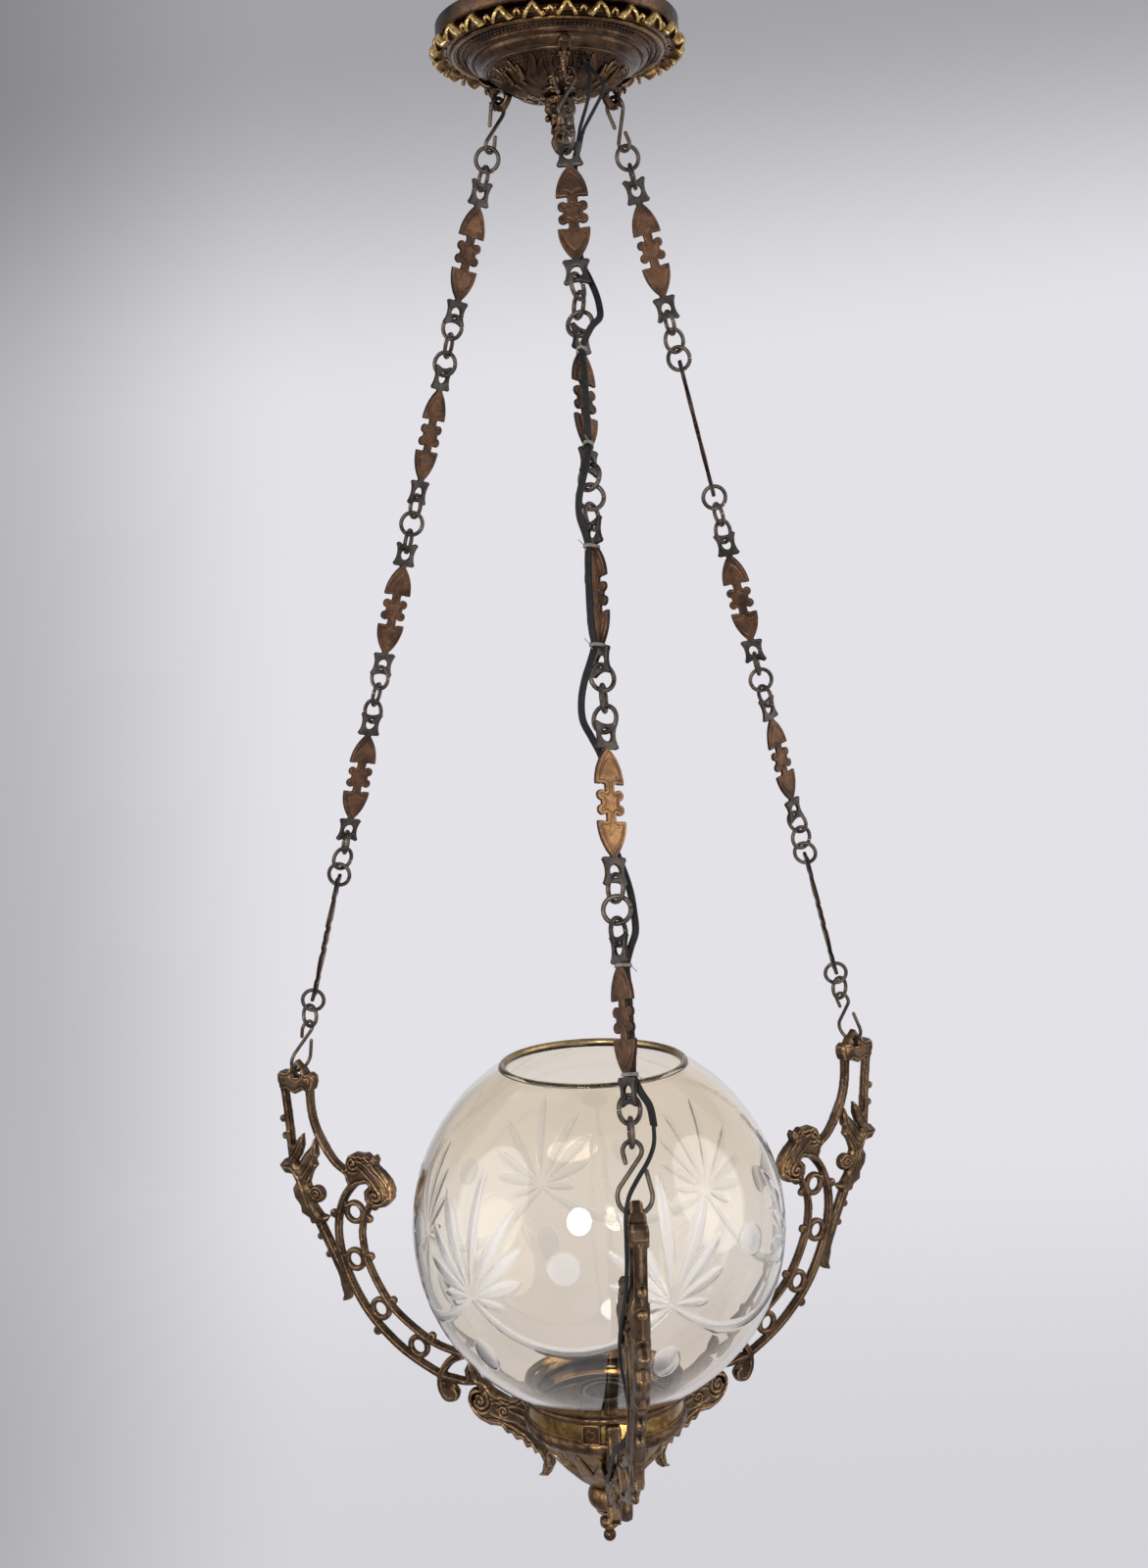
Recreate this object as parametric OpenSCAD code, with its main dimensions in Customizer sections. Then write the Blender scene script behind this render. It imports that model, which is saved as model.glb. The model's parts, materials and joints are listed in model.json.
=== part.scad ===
// Ceiling lantern on three chains.
// A pressed rose carries three cast brackets. From each bracket hangs an S hook, a chain of five
// pierced links joined by rings, and a second S hook that holds the eye of a cast scroll arm.
// The three arms meet at a gallery ring, which holds a glass globe over the lampholder.
// The origin is the middle of the ceiling plane, Z is up and the front arm points along -Y.

/* [Chains] */
// Distance from the axis to an arm eye
reach = 237; // [228:1:246]
// Hole to hole length of one pierced link
link_len = 77.6; // [74:0.2:80]
// Thickness of a pierced link
link_t = 2.6; // [2.2:0.1:3]
// Half width of a link at its arrow barbs
link_half = 9.8; // [9.2:0.1:10.6]
// Width of a link's eye plate
eye_plate_w = 17; // [16:0.5:19]
// Height of a link's eye plate
eye_plate_h = 16; // [15:0.5:18]
// Radius of a link's eye hole
eye_r = 3.7; // [3.5:0.1:4]
// Mean radius of a chain ring
ring_r = 7.6; // [7.2:0.1:8.4]
// Thickness of the ring wire
ring_wire = 2.8; // [2.4:0.1:3]
// Clearance between metal that hangs in metal
play = 0.3; // [0.3:0.05:0.4]

/* [Hooks] */
// Thickness of the hook wire
hook_wire = 2.6; // [2.2:0.1:3]
// Height of a top hook between its two wire centres
top_hook_h = 34; // [32:0.5:38]
// Mean radius of a top hook's upper loop
top_hook_big = 6.8; // [6.4:0.1:7.4]
// Mean radius of a top hook's lower loop
top_hook_small = 4.6; // [4.2:0.1:5]
// Height of a bottom hook between its two wire centres
bottom_hook_h = 38.5; // [37:0.5:42]
// Mean radius of a bottom hook's upper loop
bottom_hook_small = 5.2; // [4.6:0.1:5.6]
// Mean radius of a bottom hook's lower loop
bottom_hook_big = 9.5; // [9:0.1:10]
// Lean of the open wire ends towards the shank, in degrees
hook_lean = 12; // [6:1:14]

/* [Rose] */
// Radius of the rose's side wall
rose_r = 77; // [74:1:80]
// Wall of the pressed rose
rose_wall = 1.4; // [1:0.1:2]
// Number of leaves round the rose
leaf_count = 28; // [24:2:32]
// Length of a leaf from its root to its tip
leaf_len = 13.5; // [11:0.5:15]
// Thickness of the leaves
leaf_t = 1.6; // [1.2:0.1:2]
// Distance from the axis to a bracket's hole
lug_r = 42; // [41:0.5:44]
// Height of a bracket's hole below the ceiling
lug_drop = 38; // [37:0.5:40]
// Radius of the hole in a bracket
lug_hole = 3.2; // [3:0.1:3.5]
// Thickness of a bracket
lug_t = 5; // [4:0.5:5.5]
// Distance between the two ceiling screws
screw_gap = 90; // [70:1:100]
// Diameter of the holes for the ceiling screws
screw_hole = 5; // [4:0.5:6]

/* [Arms] */
// Height of an arm eye above the gallery lip
arm_h = 198; // [194:1:208]
// Thickness of the arm bands across the arm
arm_t = 6; // [5:0.5:7]
// Width of the arm bands
band_w = 5.6; // [5:0.2:6.4]
// Thickness of the arm cap and its eye
cap_t = 9; // [8:0.5:10]
// Thickness of the eye where the hook passes through it
arm_eye_t = 6.4; // [5.6:0.2:7]
// Radius of the hole in an arm eye
arm_hole = 3.2; // [3:0.1:3.5]
// Outer radius of the small rings between the bands
loop_r = 8.6; // [8.2:0.1:9]
// Width of those rings
loop_w = 3.6; // [3:0.1:4]

/* [Globe] */
// Outer radius of the glass globe
globe_r = 125; // [119:1:129]
// Wall of the globe
globe_wall = 4; // [3:0.5:5]
// Outer radius of the opening at the top
mouth_r = 63; // [58:1:68]
// Outer radius of the globe's neck
neck_r = 48.5; // [46:0.5:49]
// Length of the neck below the seat
neck_len = 15; // [10:1:18]
// Clearance between the glass and the gallery
glass_gap = 0.4; // [0.3:0.1:1]

/* [Gallery and bowl] */
// Outer radius of the gallery ring
gallery_r = 53.5; // [53:0.5:55]
// Height of the gallery ring below its lip
gallery_h = 24; // [22:1:26]
// Wall of the gallery ring
gallery_wall = 2; // [1.5:0.1:2.4]
// Thickness of the rolled lip
lip_wire = 2.4; // [2:0.1:3]
// Diameter of the gallery screws
gallery_screw_d = 4; // [3:0.5:5]
// Depth of the bowl below the gallery ring
bowl_h = 44; // [40:1:46]
// Wall of the bowl
bowl_wall = 1.6; // [1.2:0.1:2.4]
// Diameter of the rods that clamp the rose and the cage
rod_d = 10; // [8:1:12]
// Radius of the boss under the bowl
boss_r = 14; // [12.5:0.5:16]
// Height of the boss
boss_h = 19.4; // [17:0.2:22]
// Outer diameter of the lampholder
holder_d = 38; // [36:1:42]
// Height of the lampholder
holder_h = 50; // [44:1:54]
// Diameter of the lamp thread's bore
socket_d = 26.6; // [26:0.1:28]

/* [Flex] */
// Width of the twin flex
flex_w = 4.6; // [4:0.2:4.8]
// Thickness of the twin flex
flex_t = 2.4; // [2:0.1:2.6]
// Diameter of one strand where the twin flex is split
strand_w = 2.2; // [1.8:0.1:2.4]

/* [Hidden] */
$fn = 48;

// The three chains, as [direction round Z, hook turns, ring turns, link turns]. A turn is the
// direction of a piece's normal, in degrees from the front towards the right.
front_dir = -90;
right_dir = 30;
left_dir = 150;
top_hook_turn = [5, -50, 52];
bottom_hook_turn = [3, -50, 50];
link_turns = [
    [-8, 45, -58, 32, -60],
    [15, 80, -35, 40, 85],
    [35, 45, 30, 30, 85]
];
ring_turns = [
    [60, 110, 55, 108, 157, 134, 4, 54, 24, 75, 142, 118, 172, 52, 35, 90],
    [15, 85, 100, 30, 152, 170, 100, 40, 74, 0, 112, 130, 25, 156, 172, 40],
    [165, 110, 144, 75, 154, 116, 20, 105, 138, 75, 138, 102, 40, 165, 178, 130]
];
dirs = [front_dir, right_dir, left_dir];

// How far a curved wire of radius r and thickness w has to stand off a hole's edge at its middle,
// for the clearance to hold at the faces of a plate of the given half thickness.
// The last term is for pieces that hang askew in their holes.
function stand_off(r, half, w) =
    let (c = sqrt(r * r - half * half)) play + r - c + w / 2 * (r / c - 1) + askew_room;
askew_room = 0.15;
hook_room = 0.1;

// Stations along a chain, measured down from the bracket's hole.
link_ring_off = eye_r - ring_wire / 2 - stand_off(ring_r, link_t / 2, ring_wire) + ring_r;
ring_pitch = 2 * ring_r - ring_wire - play;
hook_ring_off = ring_r - ring_wire / 2 - play - askew_room - hook_wire / 2;
lug_wire_s = lug_hole - hook_wire / 2 - stand_off(top_hook_big, lug_t / 2, hook_wire) - hook_room;
top_hook_s = lug_wire_s + top_hook_h;
ring_a_s = top_hook_s + hook_ring_off;
ring_b_s = ring_a_s + ring_pitch;
link_1_s = ring_b_s + link_ring_off;
link_pitch = link_len + 2 * link_ring_off + 2 * ring_pitch;
ring_c_s = link_1_s + 4 * link_pitch + link_len + link_ring_off;
ring_d_s = ring_c_s + ring_pitch;
bottom_hook_s = ring_d_s + hook_ring_off;
bottom_wire_s = bottom_hook_s + bottom_hook_h;
chain_len = bottom_wire_s + arm_hole - hook_wire / 2
    - stand_off(bottom_hook_big, arm_eye_t / 2, hook_wire) - hook_room;
ring_s = concat(
    [ring_a_s, ring_b_s],
    [for (g = [0:3], k = [0:2]) link_1_s + g * link_pitch + link_len + link_ring_off + k * ring_pitch],
    [ring_c_s, ring_d_s]);

// The chain lean and the heights that follow from it.
lug_z = -lug_drop;
chain_drop = sqrt(chain_len * chain_len - (reach - lug_r) * (reach - lug_r));
tilt = atan2(reach - lug_r, chain_drop);
arm_z = lug_z - chain_drop;
lip_z = arm_z - arm_h;
ring_top_z = lip_z - lip_wire / 2;
ring_low_z = lip_z - gallery_h;
bowl_low_z = ring_low_z - bowl_h;
boss_low_z = bowl_low_z - boss_h;
seat_r = gallery_r + 1.5;
seat_a = asin(seat_r / (globe_r + glass_gap + lip_wire / 2));
globe_z = lip_z + (globe_r + glass_gap + lip_wire / 2) * cos(seat_a);
mouth_z = globe_z + sqrt(globe_r * globe_r - mouth_r * mouth_r);
neck_low_z = lip_z - neck_len;
holder_low_z = bowl_low_z + 12;
rose_floor_z = -45.4;
bowl_ball_r = 70.8;
bowl_ball_z = rose_floor_z + bowl_ball_r;
foot_gap = 0.1;

copper = "#6b4a38";
iron = "#4a4743";
bronze = "#6a543a";
brass = "#b08a3e";

// Puts children on a chain, with the chain running down its own -Z from the bracket's hole.
module on_chain(k) {
    rotate([0, 0, dirs[k]])
        translate([lug_r, 0, lug_z])
            rotate([0, -tilt, 0])
                children();
}

// Turns children round the chain's own line so that their X axis is the normal that is asked for.
module turned(k, turn) {
    rotate([0, 0, turn - 90 - dirs[k]])
        children();
}

module wire_arc(r, wire, from, to) {
    rotate([0, 0, from])
        rotate_extrude(angle = to - from)
            translate([r, 0])
                circle(d = wire, $fn = 24);
}

// A straight run of wire with a full round at both ends, so that it joins the bends beside it.
module wire_run(p, q, wire) {
    translate([p[0], p[1], 0])
        rotate([0, 0, atan2(q[1] - p[1], q[0] - p[0])])
            rotate([0, 90, 0])
                cylinder(d = wire, h = norm(q - p), $fn = 24);
    for (e = [p, q])
        translate([e[0], e[1], 0])
            sphere(d = wire + 0.08, $fn = 24);
}

// An S hook in the XY plane. Its upper wire centre is at the origin and its lower one at -h.
module s_hook(h, a, b, end_a, end_b, wire) {
    slant = asin((a + b) / (h - a - b));
    side = [cos(slant), -sin(slant)];
    lean = [sin(hook_lean), -cos(hook_lean)];
    top = [0, -a];
    low = [0, b - h];
    tip_a = top + a * [-cos(hook_lean), -sin(hook_lean)];
    tip_b = low + b * [cos(hook_lean), sin(hook_lean)];
    union() {
        translate([top[0], top[1], 0])
            wire_arc(a, wire, -slant, 180 + hook_lean);
        translate([low[0], low[1], 0])
            wire_arc(b, wire, 180 - slant, 360 + hook_lean);
        wire_run(top + a * side, low - b * side, wire);
        wire_run(tip_a, tip_a + end_a * lean, wire);
        wire_run(tip_b, tip_b - end_b * lean, wire);
    }
}

module top_hook(k) {
    color(iron)
        on_chain(k)
            translate([0, 0, -lug_wire_s])
                turned(k, top_hook_turn[k])
                    rotate([90, 0, 90])
                        s_hook(top_hook_h, top_hook_big, top_hook_small, 10, 5, hook_wire);
}

module bottom_hook(k) {
    color(iron)
        on_chain(k)
            translate([0, 0, -bottom_hook_s])
                turned(k, bottom_hook_turn[k])
                    rotate([90, 0, 90])
                        s_hook(bottom_hook_h, bottom_hook_small, bottom_hook_big, 5, 11, hook_wire);
}

module rings(k) {
    color(iron)
        for (i = [0:len(ring_s) - 1])
            on_chain(k)
                translate([0, 0, -ring_s[i]])
                    turned(k, ring_turns[k][i])
                        rotate([0, 90, 0])
                            rotate_extrude()
                                translate([ring_r, 0])
                                    circle(d = ring_wire, $fn = 24);
}

// A pointed arch with its tip up, made of two arcs that stand on the line y = base.
module arch(half, height, base) {
    r = (half * half + height * height) / (2 * half);
    intersection() {
        translate([half - r, base])
            circle(r, $fn = 96);
        translate([r - half, base])
            circle(r, $fn = 96);
        translate([-half, base])
            square([2 * half, height]);
    }
}

// The levels and radii of a link's outline, measured from its middle.
barb_y = 10.5;
stem_w = 6;
notch_r = 1.9;
notch = [4.9, 8.9];
lobe_r = 3;
lobe = [6.1, 4.2];
waist = [9.9, 2.2];
arch_h = link_len / 2 - eye_plate_h / 2 + 1 - barb_y;

// The eye plate of a link, with hollow sides.
module eye_plate_2d() {
    ear_r = 12;
    waist_x = 6.2;
    waist_y = 6.4;
    translate([0, link_len / 2])
        difference() {
            intersection() {
                square([eye_plate_w, eye_plate_h], center = true);
                rotate(45)
                    square((eye_plate_w + eye_plate_h - 3) / sqrt(2), center = true);
            }
            for (s = [-1, 1])
                translate([s * (waist_x + ear_r), 0])
                    circle(ear_r, $fn = 96);
            translate([0, waist_y + ear_r])
                circle(ear_r, $fn = 96);
            circle(eye_r);
        }
}

// The upper half of a link's outline, from its middle to its eye plate.
module half_link_2d() {
    eye_plate_2d();
    translate([-2.2, link_len / 2 - eye_plate_h / 2 - 3])
        square([4.4, 5]);
    difference() {
        union() {
            arch(link_half, arch_h, barb_y);
            translate([-stem_w / 2, -1])
                square([stem_w, barb_y + 3]);
        }
        for (s = [-1, 1])
            translate([s * notch[0], notch[1]])
                circle(notch_r, $fn = 48);
    }
}

// The four lobed middle of a link.
module middle_link_2d() {
    difference() {
        union() {
            square([2 * lobe[0], 2 * (lobe[1] + lobe_r) - 2], center = true);
            for (sx = [-1, 1], sy = [-1, 1])
                translate([sx * lobe[0], sy * lobe[1]])
                    circle(lobe_r, $fn = 48);
        }
        for (s = [-1, 1])
            translate([s * waist[0], 0])
                circle(waist[1], $fn = 48);
    }
}

// The field that is engraved on an arrow head, inset from its outline.
module arrow_field_2d(inset) {
    difference() {
        arch(link_half - inset, arch_h - 2.4 * inset, barb_y - 1);
        for (s = [-1, 1])
            translate([s * notch[0], notch[1]])
                circle(notch_r + inset + 1.5, $fn = 96);
    }
}

// The field that is engraved on the middle, with a hollow in each of its sides.
module middle_field_2d(inset) {
    difference() {
        square([2 * lobe[0] + 4 - 2 * inset, 2 * (lobe[1] + lobe_r) + 2 - 2 * inset], center = true);
        for (s = [-1, 1]) {
            translate([s * waist[0], 0])
                circle(waist[1] + inset + 1.7, $fn = 96);
            for (end = [-1, 1])
                translate([s * notch[0], end * notch[1]])
                    circle(notch_r + inset + 1.3, $fn = 96);
        }
    }
}

// One pierced link. A fine line is engraved on both faces of its arrow heads and its middle.
module pierced_link() {
    depth = 0.5;
    border = 1.7;
    line_w = 0.7;
    difference() {
        linear_extrude(link_t, center = true)
            union() {
                half_link_2d();
                mirror([0, 1])
                    half_link_2d();
                middle_link_2d();
            }
        for (face = [-1, 1])
            translate([0, 0, face * link_t / 2])
                linear_extrude(2 * depth, center = true) {
                    for (end = [0, 1])
                        mirror([0, end])
                            difference() {
                                arrow_field_2d(border);
                                arrow_field_2d(border + line_w);
                            }
                    difference() {
                        middle_field_2d(border);
                        middle_field_2d(border + line_w);
                    }
                }
    }
}

module chain_link(k, i) {
    color(i == 3 ? "#b5794a" : copper)
        on_chain(k)
            translate([0, 0, -(link_1_s + i * link_pitch + link_len / 2)])
                turned(k, link_turns[k][i])
                    rotate([90, 0, 90])
                        pierced_link();
}

// The pressed rose: a side wall, stepped mouldings and a shallow bowl.
module rose_2d(w) {
    polygon([
        [0, w > 0 ? 1 : -1], [rose_r - w, w > 0 ? 1 : -1], [rose_r - w, -9 + w / 2],
        [rose_r - 1.2 - w, -10.6 + w], [71.5 - w, -13 + w], [69 - w, -20 + w], [66 - w, -21.5 + w],
        [58 - w, -21.5 + w], [53.6 - w, -22 + w], [52.6 - w, -25.4 + w], [50 - w, -27.8 + w],
        [45.3 - w, -29 + w], [0, -29 + w]
    ]);
}

module canopy() {
    color(bronze)
        difference() {
            union() {
                rotate_extrude($fn = 96)
                    rose_2d(0);
                rotate_extrude($fn = 96)
                    translate([55.6, -21.4])
                        circle(2.2, $fn = 24);
                intersection() {
                    translate([0, 0, bowl_ball_z])
                        sphere(bowl_ball_r, $fn = 96);
                    translate([0, 0, rose_floor_z - 1])
                        cylinder(r = 46, h = 18);
                }
            }
            rotate_extrude($fn = 96)
                rose_2d(rose_wall);
            intersection() {
                translate([0, 0, bowl_ball_z])
                    sphere(bowl_ball_r - rose_wall, $fn = 96);
                translate([0, 0, rose_floor_z])
                    cylinder(r = 43, h = 18);
            }
            translate([0, 0, rose_floor_z - 1])
                cylinder(d = rod_d + 0.4, h = 6);
            at_flex_hole()
                translate([0, 0, -8])
                    cylinder(d = bush_d + 0.2, h = 16, $fn = 24);
        }
}

// The ring of leaves that hides the foot of the side wall. Each leaf slopes up and out.
module leaf_rim() {
    slope = 27.5;
    root_r = 69.3;
    root_z = -21;
    k = leaf_len / 13.5;
    color(brass)
        union() {
            rotate_extrude($fn = 96)
                polygon([[root_r, -20.2], [root_r, -21.8], [74, -19.6], [74, -17.6]]);
            for (i = [0:leaf_count - 1])
                rotate([0, 0, i * 360 / leaf_count + 90])
                    translate([root_r, 0, root_z + 0.4])
                        rotate([0, -slope, 0])
                            linear_extrude(leaf_t, center = true)
                                polygon([
                                    [0.6, -7.2], [3.4, -7.3], [5.2 * k, -5.2], [6.8 * k, -6],
                                    [9 * k, -3.4], [leaf_len, 0], [9 * k, 3.4], [6.8 * k, 6],
                                    [5.2 * k, 5.2], [3.4, 7.3], [0.6, 7.2]
                                ]);
        }
}

// A bracket is a radial plate that hooks over the moulding and hangs down past the bowl.
module bracket(k) {
    color(bronze)
        rotate([0, 0, dirs[k]])
            difference() {
                union() {
                    rotate([90, 0, 0])
                        linear_extrude(lug_t, center = true)
                            polygon([
                                [lug_r - 9, -30], [lug_r - 8, lug_z - 1], [lug_r - 6, lug_z - 5],
                                [lug_r - 3, lug_z - 8.4], [lug_r + 2, lug_z - 8.6],
                                [lug_r + 5, lug_z - 5], [lug_r + 6.4, lug_z + 1],
                                [lug_r + 8, -33], [55.6, -28.4], [56, -24.4], [53.8, -24.4],
                                [51, -27.6], [46, -29.4], [45, -29.3]
                            ]);
                    rotate([90, 0, 0])
                        linear_extrude(lug_t + 2.5, center = true)
                            polygon([
                                [46.4, -29.4], [51, -27.8], [53.8, -24.6], [56, -24.6],
                                [55.8, -28], [52.6, -30.4], [47.6, -31.6]
                            ]);
                }
                translate([0, 0, bowl_ball_z])
                    sphere(bowl_ball_r + foot_gap, $fn = 96);
                translate([lug_r, 0, lug_z])
                    rotate([90, 0, 0])
                        cylinder(r = lug_hole, h = 20, center = true, $fn = 32);
            }
}

// A turned knob under the rose, screwed on the end of the rod.
module pendant_knob() {
    z = rose_floor_z;
    color(brass)
        difference() {
            rotate_extrude()
                polygon([
                    [0, z - 0.6], [8.4, z - 0.6], [9, z - 2.6], [8, z - 4.6], [8.4, z - 8],
                    [6.6, z - 10.6], [4.6, z - 13], [4.1, z - 18], [6, z - 19.2], [6, z - 20.4],
                    [4.3, z - 22], [5.2, z - 27], [4.4, z - 30.6], [3, z - 33.6], [0, z - 36]
                ]);
            translate([0, 0, z - 10])
                cylinder(d = 6.1, h = 12);
        }
}

module rose_rod() {
    color(iron)
        union() {
            translate([0, 0, rose_floor_z - 0.2])
                cylinder(d = rod_d, h = -rose_floor_z - 3.2);
            translate([0, 0, rose_floor_z - 9])
                cylinder(d = 6, h = 10);
        }
}

module crossbar() {
    bar_t = 3;
    color(iron)
        difference() {
            union() {
                translate([-screw_gap / 2 - 12, -10, -bar_t])
                    cube([screw_gap + 24, 20, bar_t]);
                translate([0, 0, -bar_t - 5])
                    cylinder(d = rod_d + 8, h = 6);
            }
            for (s = [-1, 1])
                translate([s * screw_gap / 2, 0, -bar_t - 1])
                    cylinder(d = screw_hole, h = bar_t + 2, $fn = 32);
            translate([0, 0, -bar_t - 6])
                cylinder(d = rod_d + 0.1, h = bar_t + 7, $fn = 32);
        }
}

module rose_nut() {
    color(iron)
        difference() {
            translate([0, 0, rose_floor_z + rose_wall + 0.9])
                cylinder(d = rod_d + 9, h = 6, $fn = 6);
            translate([0, 0, rose_floor_z - 1])
                cylinder(d = rod_d + 0.1, h = 12, $fn = 32);
        }
}

// A two way terminal block under the crossbar.
module lead_connector() {
    color("#e7e3d6")
        translate([18, -7, -13.1])
            difference() {
                cube([22, 14, 10]);
                for (x = [6, 16]) {
                    translate([x, 7, 5])
                        rotate([90, 0, 0])
                            cylinder(d = 4, h = 20, center = true, $fn = 24);
                    translate([x, 7, -1])
                        cylinder(d = 2.6, h = 8, $fn = 24);
                }
            }
}

// The hole for the flex, beside the front bracket and square to the bowl, and its bush.
flex_hole = [13, -37];
bush_d = 8;
module at_flex_hole() {
    translate([0, 0, bowl_ball_z])
        rotate([0, 180 - asin(norm(flex_hole) / bowl_ball_r), atan2(flex_hole[1], flex_hole[0])])
            translate([0, 0, bowl_ball_r])
                children();
}
module flex_bush() {
    color("#2c2a28")
        at_flex_hole()
            difference() {
                union() {
                    translate([0, 0, -5])
                        cylinder(d = bush_d, h = 7.4, $fn = 24);
                    translate([0, 0, -rose_wall - 2.3])
                        cylinder(d = bush_d + 2, h = 2, $fn = 24);
                }
                translate([0, 0, -6])
                    cylinder(d = 6.4, h = 12, $fn = 24);
            }
}

// Points on an arm. x runs inwards from the eye and y runs down from it, at the measured size.
arm_x = (reach - gallery_r) / 183.5;
arm_y = arm_h / 198;
arm_grow = max(arm_x, arm_y);
function at(x, y) = [reach - x * arm_x, arm_z - (y - 2) * arm_y];
function pts(list) = [for (p = list) at(p[0], p[1])];

// A smooth curve through the points, with n steps between each two.
function bend(p, i, t) =
    let (a = p[max(i - 1, 0)], b = p[i], c = p[i + 1], d = p[min(i + 2, len(p) - 1)])
    0.5 * (2 * b + (c - a) * t + (2 * a - 5 * b + 4 * c - d) * t * t
        + (3 * b - a - 3 * c + d) * t * t * t);
function curve(p, n) =
    concat([for (i = [0:len(p) - 2], j = [0:n - 1]) bend(p, i, j / n)], [p[len(p) - 1]]);
function heading(p, i) =
    let (v = p[min(i + 1, len(p) - 1)] - p[max(i - 1, 0)]) v / norm(v);
function edge(p, w0, w1) = [
    for (i = [0:len(p) - 1])
        let (t = heading(p, i), w = w0 + (w1 - w0) * i / (len(p) - 1)) p[i] + w / 2 * [-t[1], t[0]]
];
function back(list) = [for (i = [len(list) - 1:-1:0]) list[i]];

// A band of cast metal along a curve, w0 wide at its start and w1 at its end.
module band(list, w0, w1, n = 4) {
    c = curve(pts(list), n);
    polygon(concat(edge(c, w0, w1), back(edge(c, -w0, -w1))));
}

module dot(x, y, r) {
    translate(at(x, y))
        circle(r * arm_grow, $fn = 32);
}

// The lines that the bands follow, and the rings that hold the two main bands apart.
arm_outer = [[-13, 12], [-11, 30], [-9.6, 46], [-8, 66], [-2.6, 84], [3, 96]];
arm_tail = [[0, 88], [4, 97], [9.6, 107.4], [15.4, 118.4], [22, 131], [28.4, 144], [33.6, 154]];
arm_inner = [[9, 13], [9.6, 29], [13, 43], [20, 56], [29, 67.5], [41, 74.5]];
arm_main = [
    [54, 77.4], [47, 79], [41, 84], [34.4, 93], [29.6, 106], [28.4, 121], [31, 137], [39, 156.6],
    [52.3, 176.6], [69.8, 192.6], [86.4, 203.4], [108, 212.8], [120, 214.6], [129, 215], [138, 213]
];
arm_second = [
    [57.6, 93], [53.2, 101], [50, 108.4], [48.6, 119], [51.2, 135], [60.4, 154], [73, 170.6],
    [94, 185.4], [109, 192], [127, 195.4]
];
arm_curl = [
    [128, 196], [119, 200.6], [112.6, 207.6], [109.2, 215], [109.4, 223.4], [113.8, 229.6],
    [119.8, 228.6], [121.6, 224], [118.6, 221.2]
];
arm_scroll = [
    [138, 213], [145.4, 215.4], [150, 221.6], [149.6, 229], [144.6, 234], [137.6, 233.4],
    [133.6, 228.4], [134.4, 222.4], [139.4, 219.6], [143.6, 222.6]
];
arm_loops = [[43, 102.2], [41.8, 137.4], [61.4, 171.6], [92, 195]];

// The bands of an arm in the radial plane, each narrower by cut all round.
module arm_bands_2d(cut) {
    band(arm_outer, band_w - cut, band_w + 0.6 - cut);
    band(arm_tail, band_w + 1.4 - cut, band_w + 1.4 - cut);
    band(arm_inner, band_w + 0.4 - cut, band_w - cut);
    band(arm_main, band_w - cut, band_w - cut);
    band(arm_second, band_w - 1 - cut, band_w - 0.6 - cut);
    band(arm_curl, band_w - cut / 2, 3.6 - cut / 2);
    band(arm_scroll, band_w - cut / 2, 3.6 - cut / 2);
}

// The curled leaf that crowns the two main bands.
module arm_crown_2d() {
    polygon(pts([
        [38, 78], [38.4, 66], [41, 60.6], [46, 58], [52, 58.4], [56, 57.6], [59.4, 60.4],
        [63, 58.4], [64.8, 61.6], [63.6, 66], [69.4, 70.4], [74.6, 76], [77, 82], [76, 89],
        [70.6, 94.6], [64.6, 96], [57, 95.6], [53.6, 91.6], [53.2, 85.6], [57.6, 81], [55, 79],
        [48, 80.6], [42, 85]
    ]));
}

// The leaf spray and the small scrolling figure on the outside of the arm.
module arm_spray_2d() {
    polygon(pts([
        [1.8, 48], [2, 57], [-0.6, 64], [-5, 70], [-10.8, 68], [-10, 60], [-4, 54]
    ]));
    polygon(pts([
        [11.6, 50.6], [13.6, 58], [14, 63], [11.4, 66.6], [13, 70.6], [9.4, 74.6], [7.4, 78.6],
        [5.4, 84.4], [-3.6, 82], [-6, 76], [-1, 68], [3, 62.6], [8.4, 57.4]
    ]));
    polygon(pts([
        [-11, 67], [-15, 68.6], [-19.6, 73.4], [-15, 78.8], [-9, 79], [-5.6, 85], [-8.8, 90],
        [-7.4, 96.4], [-2.6, 102], [-2, 107.4], [3.4, 110], [8, 112], [12, 104], [9, 97], [7, 88],
        [2, 76], [-6, 68]
    ]));
    dot(12, 92, 6.2);
    dot(5, 91, 4);
    polygon(pts([[9, 99], [15.4, 106.8], [21, 108], [18, 112.4], [13.6, 115]]));
    polygon(pts([[28, 148], [29.6, 158], [31.6, 164.6], [30, 169.6], [36, 167.6], [39.6, 160], [37.6, 152]]));
}

// Small balls along the two edges of a band, on the steps of its curve that are named.
module beads_2d(list, steps, side, out, r, n = 4) {
    c = curve(pts(list), n);
    for (i = steps)
        let (t = heading(c, i))
            translate(c[i] + side * out * [-t[1], t[0]])
                circle(r, $fn = 24);
}

// The toothed leaf that carries the foot of an arm. It is cut to the ring and the bowl later.
module arm_foot_2d() {
    polygon(pts([[131, 214], [130, 206], [133.6, 199], [138, 205], [140, 213]]));
    polygon(pts([
        [133.6, 230], [136, 236], [140.6, 239.6], [148.6, 242.4], [158, 242], [162, 246.4],
        [166, 245.6], [169, 250], [174, 248.6], [177, 254.4], [181.6, 252.6], [183.4, 257.4],
        [186.6, 255.6], [190, 262], [188.4, 270.6], [185.4, 272.6], [192.6, 271.6], [196.4, 264],
        [195, 256], [200.6, 258.6], [208, 258.4], [206, 250], [196, 240], [190, 232], [188, 226],
        [186, 226], [186, 202], [177.4, 203], [176.4, 210], [171, 218.6], [163, 222.4],
        [154, 219], [148, 216.6], [141, 224]
    ]));
}

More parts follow.
